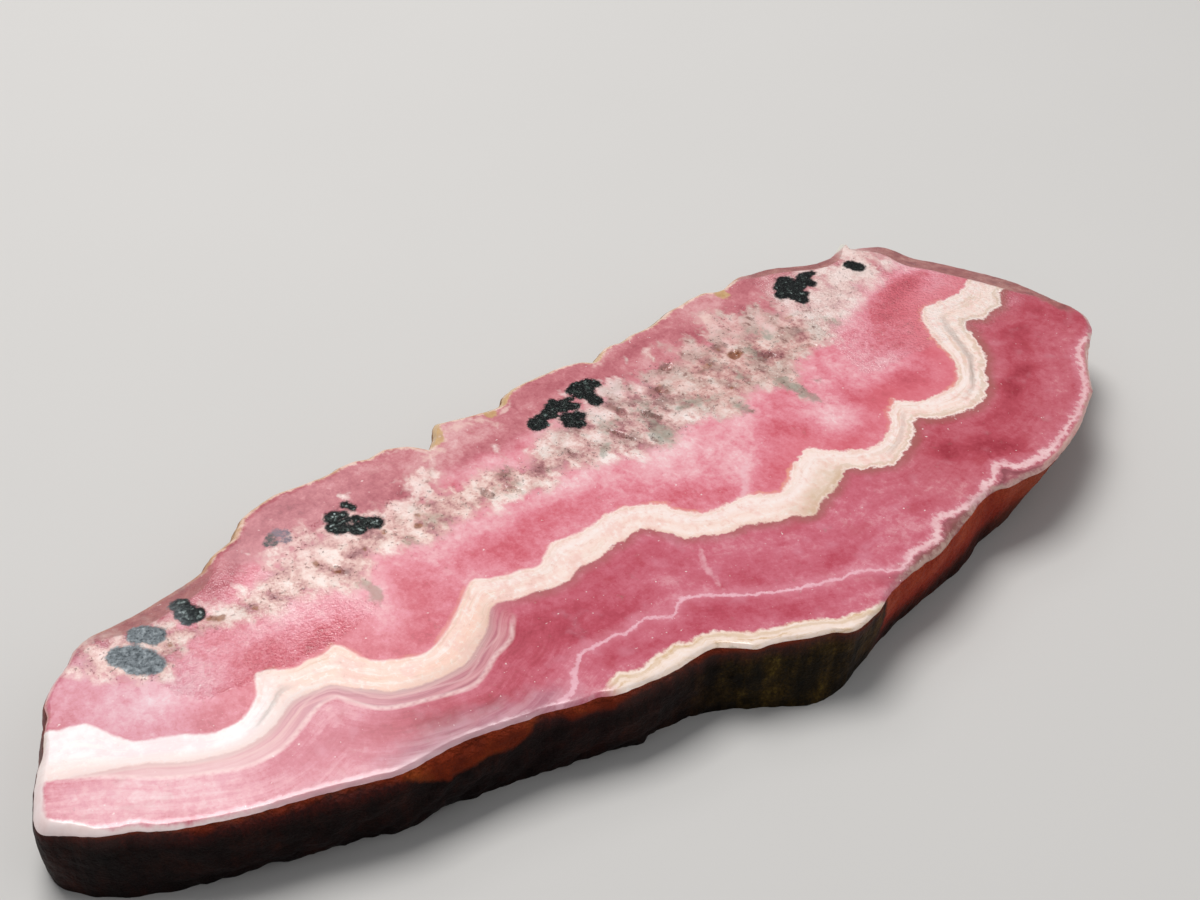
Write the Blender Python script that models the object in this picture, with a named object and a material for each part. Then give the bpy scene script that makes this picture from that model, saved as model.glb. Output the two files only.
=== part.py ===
"""A polished slice of banded rhodochrosite: one slab of stone, sawn flat above and below.

The top face is polished. Round it runs the natural edge of the vein, with notches, a splinter,
two dull ground facets and a bulge on the front, and small vugs open in the grey matrix zone.
Lengths here are in millimetres, x along the slice and y across it, and MM turns them into metres.
"""
import math

import bmesh
import bpy
import numpy as np
from mathutils import Vector, noise

MM = 0.001
NAME = "rhodochrosite_slice"

THICKNESS = 6.5             # from the sawn underside to the polished face
STATION_SPACING = 0.85      # between the upright sections along the rim
WALL_RINGS = 7              # from the arris down to the underside
BEVEL_RINGS = 2             # from the polished face out to the arris
SOFTENING = 3.5             # the lower wall follows the rim smoothed over this length
DETAIL_AT_BOTTOM = 0.4      # share of the rim's small shapes that is left at the underside
BELLY_HEIGHT = 0.6          # power that lifts the belly towards the rim: 1 is half way down

LEDGE_SPACING = 5.0         # size of the broken steps on the natural walls
LEDGE_STEPS = 3.0           # steps in one unit of the noise that lays them out
LEDGE_TREAD = 0.35          # share of each step that lies flat before its riser starts
LEDGE_RISER = 0.3           # share of each step that the riser takes
GRAIN_SPACING = 1.6         # size of the small lumps on the natural walls
GRAIN_SHARE = 0.5           # their height, as a share of the steps'
ROUGH_FROM = 1 / 3          # share of the wall's height over which the roughness grows to its full height

# Stretches of the rim, clockwise from the left tip. Each has the points of its arris seen from
# above and the section of the edge there:
#   shelf  from the rim in to the polished face        reach  from the rim out to the arris
#   drop   depth of the arris below the polished face  curl   1 is a flat bevel, 2 a rounded one
#   lean   how far the underside stands outside the arris, negative where it is undercut
#   belly  how far the wall swells between the two     rough  height of its broken steps
SECTION_VALUES = ("shelf", "reach", "drop", "curl", "lean", "belly", "rough")
RIM = (
    ("left tip", (0.95, 0.0, 0.75, 2.0, 0.8, 0.2, 0.10),
     ((-48.2, -1.0), (-49.3, 0.2), (-49.2, 1.4), (-48.6, 2.8))),
    ("left shoulder", (0.45, 0.0, 0.30, 2.0, 0.8, 0.3, 0.35),
     ((-47.5, 4.7), (-46.4, 6.0), (-45.5, 7.8), (-44.8, 8.9), (-44.4, 10.1), (-43.4, 11.3),
      (-41.6, 12.6), (-40.5, 13.6))),
    ("left dull facet", (1.7, 0.7, 0.75, 1.0, 0.2, 0.2, 0.30),
     ((-39.0, 14.1), (-36.8, 14.0), (-34.6, 14.1), (-32.4, 14.4), (-30.6, 14.7))),
    ("back left", (0.40, 0.0, 0.25, 1.3, 1.2, 0.4, 0.60),
     ((-29.2, 15.2), (-28.5, 15.8), (-27.7, 16.4), (-25.9, 17.0), (-25.0, 17.8), (-24.2, 18.6),
      (-23.3, 19.0), (-22.2, 19.3), (-20.6, 19.6), (-19.1, 19.4), (-16.1, 19.1), (-14.8, 19.3),
      (-13.5, 19.2), (-12.2, 18.8), (-10.9, 19.0), (-9.8, 18.6), (-8.9, 18.1))),
    ("notch", (0.55, 0.1, 0.55, 1.0, 0.9, 0.2, 0.30),
     ((-8.1, 17.2), (-7.7, 16.8), (-7.2, 17.2), (-6.5, 17.9), (-6.1, 18.6), (-5.5, 19.2))),
    ("back middle", (0.45, 0.1, 0.35, 1.2, 0.8, 0.4, 0.60),
     ((-4.7, 19.0), (-3.6, 18.6), (-1.6, 18.0), (-0.5, 17.8), (0.4, 17.9), (1.0, 18.5),
      (1.9, 18.9), (3.4, 19.1), (7.0, 19.0), (8.3, 18.8), (9.4, 18.4), (10.1, 17.8),
      (10.8, 18.1), (11.6, 18.5), (12.7, 18.8), (14.0, 18.6), (15.4, 18.9), (17.2, 18.8),
      (18.9, 19.2), (20.4, 19.6))),
    ("back right", (0.45, 0.0, 0.30, 1.2, 0.3, 0.5, 0.50),
     ((21.7, 19.7), (23.2, 19.9), (24.5, 19.9), (25.4, 19.4), (26.5, 19.2), (27.8, 19.6))),
    ("back dull facet", (1.2, 0.4, 0.50, 1.0, 0.2, 0.3, 0.25),
     ((29.1, 19.7), (30.4, 19.3), (31.9, 19.0), (33.4, 18.3), (35.0, 17.4), (36.4, 16.9),
      (38.0, 16.8))),
    ("splinter", (0.70, 0.0, 0.45, 1.0, -0.4, 0.0, 0.10),
     ((39.0, 17.2), (39.9, 17.8), (40.6, 18.1), (40.5, 17.4), (40.8, 16.8))),
    ("right dull facet", (2.0, 0.8, 0.85, 1.0, -0.5, 0.3, 0.25),
     ((42.2, 16.0), (43.0, 15.4), (43.5, 14.4), (43.7, 13.1), (44.1, 11.9), (45.0, 10.6),
      (46.5, 7.8), (47.2, 6.5), (47.9, 5.0), (48.5, 3.4))),
    ("right tip", (0.60, 0.1, 0.40, 1.6, -1.2, 0.2, 0.20),
     ((49.0, 0.8), (49.3, -0.9), (49.6, -2.2), (49.6, -3.7), (49.1, -4.8), (48.3, -5.8))),
    ("front right", (0.35, 0.0, 0.25, 1.6, -3.1, 0.0, 0.20),
     ((46.8, -6.9), (45.0, -8.2), (43.0, -10.0), (41.3, -11.8), (40.0, -12.5), (38.2, -13.5),
      (36.3, -14.4), (33.6, -15.4))),
    ("front undercut", (0.35, 0.0, 0.30, 1.4, -1.6, 0.1, 0.20),
     ((31.0, -16.0), (29.5, -16.1), (28.2, -15.9), (26.5, -15.8))),
    ("front hollow", (0.45, 0.0, 0.35, 1.2, -0.3, 0.3, 0.20),
     ((25.0, -15.4), (23.2, -15.6), (21.7, -16.1))),
    ("smooth front", (0.45, 0.0, 0.35, 1.2, -1.0, 0.3, 0.20),
     ((18.4, -17.1), (16.5, -17.7), (14.5, -17.8), (12.5, -18.0), (10.9, -18.3))),
    ("bulge", (0.30, 0.0, 0.25, 1.4, -0.6, 0.2, 0.20),
     ((9.6, -18.7), (8.5, -19.2), (7.2, -19.5), (5.9, -19.7))),
    ("bulge foot", (0.30, 0.0, 0.25, 1.4, 1.2, 0.1, 0.25),
     ((4.8, -19.5), (3.9, -18.8), (2.1, -18.1), (0.8, -17.4))),
    ("crust", (0.30, 0.0, 0.25, 1.2, 0.2, 0.3, 0.55),
     ((-0.5, -16.9), (-1.6, -16.6), (-2.7, -15.6), (-3.8, -14.7))),
    ("front middle", (0.30, 0.0, 0.25, 1.2, -0.2, 0.7, 0.60),
     ((-5.1, -14.5), (-7.0, -14.6), (-8.7, -14.5), (-10.4, -14.2), (-12.2, -13.9),
      (-13.5, -13.2), (-14.8, -13.0), (-17.2, -12.1), (-18.7, -11.8))),
    ("front left", (0.35, 0.0, 0.25, 1.6, -0.3, 0.9, 0.60),
     ((-20.6, -11.3), (-22.6, -10.8), (-24.6, -10.6), (-26.7, -10.6), (-28.5, -10.4),
      (-29.8, -9.9), (-32.9, -8.8), (-38.1, -7.1))),
    ("left bevel", (0.50, 0.0, 0.30, 1.6, 0.6, 0.2, 0.25),
     ((-41.8, -5.5), (-43.3, -4.6), (-44.5, -3.7), (-45.5, -3.2), (-46.8, -2.4))),
)
SECTION_BLEND = 1.6         # length over which one stretch's section turns into the next

# Vugs in the matrix zone: x, y, length, width, depth, and the turn of the long side from x.
VUGS = (
    (7.6, 10.5, 1.4, 0.9, 0.5, 70),
    (5.7, 8.2, 2.6, 0.5, 0.4, 110),
    (9.3, 8.8, 2.0, 0.6, 0.4, 110),
    (12.3, 11.0, 1.2, 0.8, 0.4, 20),
    (-5.4, 8.2, 1.5, 0.6, 0.4, 120),
    (-7.3, 9.1, 1.4, 0.7, 0.4, 110),
    (14.6, 13.1, 1.3, 0.9, 0.4, 0),
    (22.7, 8.8, 1.1, 0.7, 0.4, 150),
    (26.4, 7.8, 1.5, 0.5, 0.4, 150),
    (-21.2, 8.9, 1.2, 0.6, 0.35, 100),
    (20.4, 10.8, 1.3, 1.0, 0.3, 60),
)
VUG_SUBDIVISIONS = 2
VUG_RAGGEDNESS = 0.25       # how far a vug's wall wanders, as a share of its size
VUG_LUMPS = 1.7             # how many lumps there are across half a vug
VUG_STRIDE = 3.1            # from one vug to the next in the noise, so that no two are alike


def catmull_rom(points, spacing):
    """Points of a closed Catmull-Rom curve, about `spacing` apart, and each one's place in `points`."""
    count = len(points)
    curve, places = [], []
    for i in range(count):
        before, start, end, after = (points[(i + k) % count] for k in (-1, 0, 1, 2))
        steps = max(1, round(math.dist(start, end) / spacing))
        for step in range(steps):
            t = step / steps
            curve.append(0.5 * (2 * start + (end - before) * t
                                + (2 * before - 5 * start + 4 * end - after) * t ** 2
                                + (3 * start - before - 3 * end + after) * t ** 3))
            places.append(i + t)
    return np.array(curve), np.array(places)


def smooth_round(values, length, reach):
    """Values at the stations of the closed rim, averaged with a bell curve of the given reach."""
    total = length[-1]
    apart = np.abs(length[:-1, None] - length[None, :-1])
    apart = np.minimum(apart, total - apart)
    steps = np.diff(length)
    share = (steps + np.roll(steps, 1)) / 2
    weights = np.exp(-0.5 * (apart / reach) ** 2) * share
    return weights @ values / weights.sum(axis=1, keepdims=True)


def rim_stations():
    """The rim's points, its smoothed line and outward normals, and the section values at each."""
    points = np.array([point for _, _, stretch in RIM for point in stretch])
    sections = np.array([section for _, section, stretch in RIM for _ in stretch])
    rim, places = catmull_rom(points, STATION_SPACING)
    steps = np.linalg.norm(np.roll(rim, -1, axis=0) - rim, axis=1)
    length = np.concatenate(([0.0], np.cumsum(steps)))
    line = smooth_round(rim, length, SOFTENING)
    tangent = np.roll(line, -1, axis=0) - np.roll(line, 1, axis=0)
    tangent /= np.linalg.norm(tangent, axis=1)[:, None]
    outward = np.column_stack((-tangent[:, 1], tangent[:, 0]))
    values = smooth_round(sections[places.astype(int)], length, SECTION_BLEND)
    return rim, line, outward, dict(zip(SECTION_VALUES, values.T))


def broken_steps(x, y, z):
    """Height of the natural wall's ledges at a point, from -1 to 1, in steps with steep risers."""
    level = noise.noise(Vector((x, y, z)) / LEDGE_SPACING) * LEDGE_STEPS
    tread = math.floor(level)
    riser = min(1.0, max(0.0, (level - tread - LEDGE_TREAD) / LEDGE_RISER))
    return (tread + riser) / LEDGE_STEPS


def section_rings():
    """Rings of (x, y, z) points, from the polished face's edge down to the underside's edge."""
    rim, line, outward, section = rim_stations()
    rings = []
    for ring in range(BEVEL_RINGS):
        share = ring / BEVEL_RINGS
        out = -section["shelf"] + share * (section["shelf"] + section["reach"])
        z = THICKNESS - section["drop"] * share ** section["curl"]
        rings.append(np.column_stack((rim + outward * out[:, None], z)))
    for ring in range(WALL_RINGS + 1):
        share = ring / WALL_RINGS
        detail = 1 - (1 - DETAIL_AT_BOTTOM) * share
        z = (THICKNESS - section["drop"]) * (1 - share)
        base = line + (rim - line) * detail + outward * section["reach"][:, None]
        steps = np.array([broken_steps(x, y, h) for (x, y), h in zip(base, z)])
        grain = np.array([noise.noise(Vector((x, y, h)) / GRAIN_SPACING) for (x, y), h in zip(base, z)])
        out = (section["lean"] * share
               + section["belly"] * math.sin(math.pi * share ** BELLY_HEIGHT)
               + min(1.0, share / ROUGH_FROM) * section["rough"] * (steps + GRAIN_SHARE * grain))
        rings.append(np.column_stack((base + outward * out[:, None], z)))
    return rings


def make_slab(name):
    """The slab, lofted from ring to ring, with its middle over the origin and its underside at z = 0."""
    rings = np.array(section_rings())
    low, high = rings.min(axis=(0, 1)), rings.max(axis=(0, 1))
    middle = np.array(((low[0] + high[0]) / 2, (low[1] + high[1]) / 2, low[2]))
    mesh = bmesh.new()
    levels = [[mesh.verts.new((point - middle) * MM) for point in ring] for ring in rings]
    for upper, lower in zip(levels, levels[1:]):
        for i in range(len(upper)):
            after = (i + 1) % len(upper)
            mesh.faces.new((upper[i], upper[after], lower[after], lower[i]))
    mesh.faces.new(reversed(levels[0]))
    mesh.faces.new(levels[-1])
    bmesh.ops.recalc_face_normals(mesh, faces=mesh.faces)
    data = bpy.data.meshes.new(name)
    mesh.to_mesh(data)
    mesh.free()
    return bpy.data.objects.new(name, data), middle


def make_vug_cutter(index, vug, middle):
    """A flattened ball that opens one vug in the polished face."""
    x, y, length, width, depth, turn = vug
    ball = bmesh.new()
    bmesh.ops.create_icosphere(ball, subdivisions=VUG_SUBDIVISIONS, radius=1.0)
    shift = Vector((index * VUG_STRIDE, 0, 0))
    for corner in ball.verts:
        corner.co *= 1 + VUG_RAGGEDNESS * noise.noise(corner.co * VUG_LUMPS + shift)
    bmesh.ops.scale(ball, vec=(length / 2 * MM, width / 2 * MM, depth * MM), verts=ball.verts)
    data = bpy.data.meshes.new(f"vug_cutter_{index}")
    ball.to_mesh(data)
    ball.free()
    cutter = bpy.data.objects.new(data.name, data)
    cutter.location = ((x - middle[0]) * MM, (y - middle[1]) * MM, THICKNESS * MM)
    cutter.rotation_euler = (0, 0, math.radians(turn))
    cutter.hide_render = True
    cutter.display_type = "WIRE"
    return cutter


def stone_material():
    material = bpy.data.materials.new("rhodochrosite")
    material.use_nodes = True
    shader = material.node_tree.nodes["Principled BSDF"]
    shader.inputs["Base Color"].default_value = (0.62, 0.17, 0.22, 1)
    shader.inputs["Roughness"].default_value = 0.2
    shader.inputs["Metallic"].default_value = 0.0
    return material


def new_collection(name):
    collection = bpy.data.collections.new(name)
    bpy.context.scene.collection.children.link(collection)
    return collection


def main():
    for old in list(bpy.data.objects):
        bpy.data.objects.remove(old, do_unlink=True)
    parts = new_collection(NAME + "_parts")
    cutters = new_collection("cutters")
    slab, middle = make_slab(NAME)
    slab.data.materials.append(stone_material())
    parts.objects.link(slab)
    for index, vug in enumerate(VUGS):
        cutter = make_vug_cutter(index, vug, middle)
        cutters.objects.link(cutter)
        cut = slab.modifiers.new(cutter.name, "BOOLEAN")
        cut.object = cutter
        cut.operation = "DIFFERENCE"
        cut.solver = "EXACT"


main()
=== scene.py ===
import math
from types import SimpleNamespace

import bpy
import numpy as np
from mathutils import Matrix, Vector, geometry, noise


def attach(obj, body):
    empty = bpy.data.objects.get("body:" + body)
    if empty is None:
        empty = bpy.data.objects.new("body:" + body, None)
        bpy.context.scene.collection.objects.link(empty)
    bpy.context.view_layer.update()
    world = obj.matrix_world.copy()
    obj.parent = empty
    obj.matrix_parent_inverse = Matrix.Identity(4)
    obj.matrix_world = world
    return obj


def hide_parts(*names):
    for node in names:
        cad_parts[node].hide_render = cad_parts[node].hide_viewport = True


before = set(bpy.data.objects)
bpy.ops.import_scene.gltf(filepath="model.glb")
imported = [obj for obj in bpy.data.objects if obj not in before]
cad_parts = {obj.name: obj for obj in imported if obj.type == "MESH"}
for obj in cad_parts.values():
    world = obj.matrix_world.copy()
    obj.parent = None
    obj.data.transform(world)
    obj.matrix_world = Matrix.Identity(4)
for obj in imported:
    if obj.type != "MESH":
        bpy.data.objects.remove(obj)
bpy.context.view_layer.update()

# The looks of a polished slice of banded rhodochrosite. Lengths are in millimetres, in the slice's own
# drawing frame: x along it, y across it. MM and `middle` take them to the frame's metres.
MM = 0.001
NODE = "rhodochrosite_slice"

# ---------------------------------------------------------------- the slab's shape, as in the frame

THICKNESS = 6.5             # from the sawn underside to the polished face
SOFTENING = 3.5             # the lower wall follows the rim smoothed over this length
DETAIL_AT_BOTTOM = 0.4      # share of the rim's small shapes that is left at the underside
BELLY_HEIGHT = 0.6          # power that lifts the belly towards the rim: 1 is half way down
LEDGE_SPACING = 5.0         # size of the broken steps on the natural walls
LEDGE_STEPS = 3.0           # steps in one unit of the noise that lays them out
LEDGE_TREAD = 0.35          # share of each step that lies flat before its riser starts
LEDGE_RISER = 0.3           # share of each step that the riser takes
GRAIN_SPACING = 1.6         # size of the small lumps on the natural walls
GRAIN_SHARE = 0.5           # their height, as a share of the steps'
ROUGH_FROM = 1 / 3          # share of the wall's height over which its steps grow to their full height
SECTION_BLEND = 1.6         # length over which one stretch's section turns into the next

# Stretches of the rim, clockwise from the left tip, with the section of the edge in each:
#   shelf  from the rim in to the polished face        reach  from the rim out to the arris
#   drop   depth of the arris below the polished face  curl   1 is a flat bevel, 2 a rounded one
#   lean   how far the underside stands outside the arris, negative where it is undercut
#   belly  how far the wall swells between the two     rough  height of its broken steps
SECTION_VALUES = ("shelf", "reach", "drop", "curl", "lean", "belly", "rough")
RIM = (
    ("left tip", (0.95, 0.0, 0.75, 2.0, 0.8, 0.2, 0.10),
     ((-48.2, -1.0), (-49.3, 0.2), (-49.2, 1.4), (-48.6, 2.8))),
    ("left shoulder", (0.45, 0.0, 0.30, 2.0, 0.8, 0.3, 0.35),
     ((-47.5, 4.7), (-46.4, 6.0), (-45.5, 7.8), (-44.8, 8.9), (-44.4, 10.1), (-43.4, 11.3),
      (-41.6, 12.6), (-40.5, 13.6))),
    ("left dull facet", (1.7, 0.7, 0.75, 1.0, 0.2, 0.2, 0.30),
     ((-39.0, 14.1), (-36.8, 14.0), (-34.6, 14.1), (-32.4, 14.4), (-30.6, 14.7))),
    ("back left", (0.40, 0.0, 0.25, 1.3, 1.2, 0.4, 0.60),
     ((-29.2, 15.2), (-28.5, 15.8), (-27.7, 16.4), (-25.9, 17.0), (-25.0, 17.8), (-24.2, 18.6),
      (-23.3, 19.0), (-22.2, 19.3), (-20.6, 19.6), (-19.1, 19.4), (-16.1, 19.1), (-14.8, 19.3),
      (-13.5, 19.2), (-12.2, 18.8), (-10.9, 19.0), (-9.8, 18.6), (-8.9, 18.1))),
    ("notch", (0.55, 0.1, 0.55, 1.0, 0.9, 0.2, 0.30),
     ((-8.1, 17.2), (-7.7, 16.8), (-7.2, 17.2), (-6.5, 17.9), (-6.1, 18.6), (-5.5, 19.2))),
    ("back middle", (0.45, 0.1, 0.35, 1.2, 0.8, 0.4, 0.60),
     ((-4.7, 19.0), (-3.6, 18.6), (-1.6, 18.0), (-0.5, 17.8), (0.4, 17.9), (1.0, 18.5),
      (1.9, 18.9), (3.4, 19.1), (7.0, 19.0), (8.3, 18.8), (9.4, 18.4), (10.1, 17.8),
      (10.8, 18.1), (11.6, 18.5), (12.7, 18.8), (14.0, 18.6), (15.4, 18.9), (17.2, 18.8),
      (18.9, 19.2), (20.4, 19.6))),
    ("back right", (0.45, 0.0, 0.30, 1.2, 0.3, 0.5, 0.50),
     ((21.7, 19.7), (23.2, 19.9), (24.5, 19.9), (25.4, 19.4), (26.5, 19.2), (27.8, 19.6))),
    ("back dull facet", (1.2, 0.4, 0.50, 1.0, 0.2, 0.3, 0.25),
     ((29.1, 19.7), (30.4, 19.3), (31.9, 19.0), (33.4, 18.3), (35.0, 17.4), (36.4, 16.9),
      (38.0, 16.8))),
    ("splinter", (0.70, 0.0, 0.45, 1.0, -0.4, 0.0, 0.10),
     ((39.0, 17.2), (39.9, 17.8), (40.6, 18.1), (40.5, 17.4), (40.8, 16.8))),
    ("right dull facet", (2.0, 0.8, 0.85, 1.0, -0.5, 0.3, 0.25),
     ((42.2, 16.0), (43.0, 15.4), (43.5, 14.4), (43.7, 13.1), (44.1, 11.9), (45.0, 10.6),
      (46.5, 7.8), (47.2, 6.5), (47.9, 5.0), (48.5, 3.4))),
    ("right tip", (0.60, 0.1, 0.40, 1.6, -1.2, 0.2, 0.20),
     ((49.0, 0.8), (49.3, -0.9), (49.6, -2.2), (49.6, -3.7), (49.1, -4.8), (48.3, -5.8))),
    ("front right", (0.35, 0.0, 0.25, 1.6, -3.1, 0.0, 0.20),
     ((46.8, -6.9), (45.0, -8.2), (43.0, -10.0), (41.3, -11.8), (40.0, -12.5), (38.2, -13.5),
      (36.3, -14.4), (33.6, -15.4))),
    ("front undercut", (0.35, 0.0, 0.30, 1.4, -1.6, 0.1, 0.20),
     ((31.0, -16.0), (29.5, -16.1), (28.2, -15.9), (26.5, -15.8))),
    ("front hollow", (0.45, 0.0, 0.35, 1.2, -0.3, 0.3, 0.20),
     ((25.0, -15.4), (23.2, -15.6), (21.7, -16.1))),
    ("smooth front", (0.45, 0.0, 0.35, 1.2, -1.0, 0.3, 0.20),
     ((18.4, -17.1), (16.5, -17.7), (14.5, -17.8), (12.5, -18.0), (10.9, -18.3))),
    ("bulge", (0.30, 0.0, 0.25, 1.4, -0.6, 0.2, 0.20),
     ((9.6, -18.7), (8.5, -19.2), (7.2, -19.5), (5.9, -19.7))),
    ("bulge foot", (0.30, 0.0, 0.25, 1.4, 1.2, 0.1, 0.25),
     ((4.8, -19.5), (3.9, -18.8), (2.1, -18.1), (0.8, -17.4))),
    ("crust", (0.30, 0.0, 0.25, 1.2, 0.2, 0.3, 0.55),
     ((-0.5, -16.9), (-1.6, -16.6), (-2.7, -15.6), (-3.8, -14.7))),
    ("front middle", (0.30, 0.0, 0.25, 1.2, -0.2, 0.7, 0.60),
     ((-5.1, -14.5), (-7.0, -14.6), (-8.7, -14.5), (-10.4, -14.2), (-12.2, -13.9),
      (-13.5, -13.2), (-14.8, -13.0), (-17.2, -12.1), (-18.7, -11.8))),
    ("front left", (0.35, 0.0, 0.25, 1.6, -0.3, 0.9, 0.60),
     ((-20.6, -11.3), (-22.6, -10.8), (-24.6, -10.6), (-26.7, -10.6), (-28.5, -10.4),
      (-29.8, -9.9), (-32.9, -8.8), (-38.1, -7.1))),
    ("left bevel", (0.50, 0.0, 0.30, 1.6, 0.6, 0.2, 0.25),
     ((-41.8, -5.5), (-43.3, -4.6), (-44.5, -3.7), (-45.5, -3.2), (-46.8, -2.4))),
)

# Fine relief that the frame leaves out, in layers of noise: height, size and seed of each.
CHIPS = ((0.05, 0.7, 0), (0.03, 0.3, 1))            # on the arris, fading out down the wall
EDGE_WANDER = ((0.35, 1.3, 2), (0.2, 0.5, 3))       # of the polished face, as a share of the shelf
WALL_LUMPS = ((0.13, 0.8, 4), (0.07, 0.38, 5))
LUMPS_AT_ARRIS, LUMPS_FULL_FROM = 0.25, 0.1875      # their share at the arris, and where they are full
SMOOTH_LUMPS, ROUGH_LUMPS = 0.1, 1.5                # their height on a smooth wall, and more on a rough one
NARROW_SHELF = 0.8                                  # a wider one is ground straight and doesn't wander

# Vugs in the matrix zone: x, y, length, width, depth, and the turn of the long side from x.
VUGS = (
    (7.6, 10.5, 1.4, 0.9, 0.5, 70),
    (5.7, 8.2, 2.6, 0.5, 0.4, 110),
    (9.3, 8.8, 2.0, 0.6, 0.4, 110),
    (12.3, 11.0, 1.2, 0.8, 0.4, 20),
    (-5.4, 8.2, 1.5, 0.6, 0.4, 120),
    (-7.3, 9.1, 1.4, 0.7, 0.4, 110),
    (14.6, 13.1, 1.3, 0.9, 0.4, 0),
    (22.7, 8.8, 1.1, 0.7, 0.4, 150),
    (26.4, 7.8, 1.5, 0.5, 0.4, 150),
    (-21.2, 8.9, 1.2, 0.6, 0.35, 100),
    (20.4, 10.8, 1.3, 1.0, 0.3, 60),
)

VUG_REACH = 1.8             # how far a vug's ragged edge may wander, in half widths
VUG_STRIDE = 2.0            # from one vug to the next in the noise, so that no two are alike
VUG_STEEPNESS = 0.6         # power of the slope from the edge down: the less, the steeper the edge
VUG_RAGGEDNESS = ((0.35, 0.45, 0), (0.2, 0.2, 0))
VUG_FLOOR = ((0.4, 0.25, 7),)
VUG_FINE_MESH = 0.75        # radius of the finer mesh about a vug, as a share of its length

# ---------------------------------------------------------------- how finely the slab is meshed

STATION_SPACING = 0.27      # along the rim
BEVEL_RINGS = 5
WALL_RINGS = 22
TOP_SPACING = 0.36          # between the corners that fill the polished face
VUG_SPACING = 0.13
UNDERSIDE_SPACING = 0.6
CLEAR_OF_EDGE = 0.6         # how far those corners stay from the outline, as a share of their spacing
SHARP_ANGLE = 40            # in degrees
POLISHED, WALL, SAWN = range(3)

# ---------------------------------------------------------------- the bands, as lines on the face

BAND_UPPER = (
    (-48, 9), (-46.5, 8.2), (-45.5, 7.6), (-44.8, 7.1), (-43.1, 6.6), (-42.4, 5.4), (-41.8, 4.1),
    (-41.1, 3), (-39.8, 2.35), (-38.1, 1.5), (-36.8, 0.5), (-35, 0.1), (-33.7, 0.5), (-32.4, 1.5),
    (-31.8, 2.8), (-31.3, 3.4), (-30.3, 3), (-28.9, 2.1), (-27.9, 2.3), (-26.7, 2), (-25.65, 2.4),
    (-25.1, 1.8), (-24.7, 0.3), (-24.1, -0.7), (-22, -2), (-20.65, -2.35), (-19.1, -1.8), (-16.5, -0.2),
    (-14, 1.7), (-12.8, 1.1), (-11.5, 0.6), (-10.4, 0.4), (-9.1, -0.1), (-8, 0.5), (-6.7, 1.4),
    (-5.6, 1.1), (-3.6, 1), (-1.4, 1.3), (0.35, 1.1), (1.7, 0.3), (3, -0.5), (3.4, -1.8), (4.3, -2.9),
    (5.6, -3.4), (7.4, -3.65), (8.7, -3.65), (9.8, -4.4), (10.9, -5.1), (12.2, -4.8), (13.6, -3.8),
    (14.9, -3.1), (16.8, -2.5), (17.35, -3.3), (18.4, -4.3), (19.5, -5.1), (21, -5.7), (22.1, -5.6),
    (23.2, -5.1), (24.3, -4.4), (25.2, -3.2), (26.3, -2.7), (26.8, -2.1), (27.35, -2.9), (28.4, -3.8),
    (29.7, -4), (31.5, -4.2), (33, -3.8), (33.9, -3), (34.7, -1.9), (35.3, -0.7), (35.6, 0.7),
    (36.3, 2.6), (37, 4.1), (38, 5.2), (39.35, 5.6), (40.9, 5.3), (42.2, 5.2), (43.5, 5.4), (44.3, 5.8),
    (45.2, 6.15), (46.6, 6.9), (49, 8),
)
BAND_LOWER = (
    (-52, 5.2), (-47.9, 3.65), (-44.8, 2.35), (-42.9, 1.5), (-41.1, 0.6), (-39.6, -0.5), (-37.9, -1.35),
    (-35.7, -2), (-33.5, -1.9), (-31.8, -1.1), (-30.5, -0.5), (-27.8, -0.8), (-27, -1.7), (-25.9, -2.8),
    (-24.8, -3.9), (-23.3, -4.6), (-21.3, -5), (-19.1, -5), (-17.6, -4.2), (-16.1, -3.3),
    (-15.2, -2.35), (-14, -1.4), (-12.6, -1.9), (-10.9, -2.2), (-9.6, -2.7), (-8, -2.7), (-6.7, -2.2),
    (-4.9, -2.3), (-3.2, -1.9), (-1.4, -1.8), (-0.4, -1.6), (0.35, -2.2), (1, -3.3), (1.9, -4.65),
    (3.4, -5.5), (5, -6.2), (6.1, -6.2), (7.4, -6.85), (8.7, -7.6), (10.3, -7.95), (10.9, -8.6),
    (11.8, -8.7), (12.9, -8.1), (14.4, -7.7), (16.3, -6.9), (17.1, -6.3), (18.2, -7), (19.5, -7.8),
    (21, -8.3), (22.6, -7.8), (24.3, -7), (25.6, -5.9), (26.6, -5.2), (27.35, -6), (28.65, -6.7),
    (30.2, -7), (31.1, -7.3), (32.6, -7), (33.9, -6.4), (35, -5.4), (36.1, -4.2), (37.4, -3.1),
    (38.3, -1.6), (39.1, 0), (39.6, 1.3), (40.1, 1.9), (40.65, 1.6), (41.5, 1), (42.6, 1.15),
    (43.3, 1.5), (44.1, 1.3), (44.8, 1.9), (45.65, 2.8), (46.7, 3.2), (49, 3.8),
)
LINE_TWO = (
    (-48, 4), (-46, 2.7), (-44, 1.4), (-41.6, -0.6), (-40, -1.7), (-38.2, -2.7), (-36.8, -3.4),
    (-35.4, -3.8), (-33.5, -3.8), (-31.7, -3.1), (-30.2, -2.3), (-28.9, -1.9), (-28, -2.1),
    (-27.4, -3.2), (-26.3, -4.7), (-24.8, -5.6), (-22.8, -6.3), (-21.3, -6.8), (-19.8, -7.1),
    (-18.3, -6.5), (-17, -5.7), (-15.2, -5.1), (-14.5, -4.3), (-13.5, -3.2),
)
LINE_TWO_GOES_ON = (-12.5, -1.5)
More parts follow.
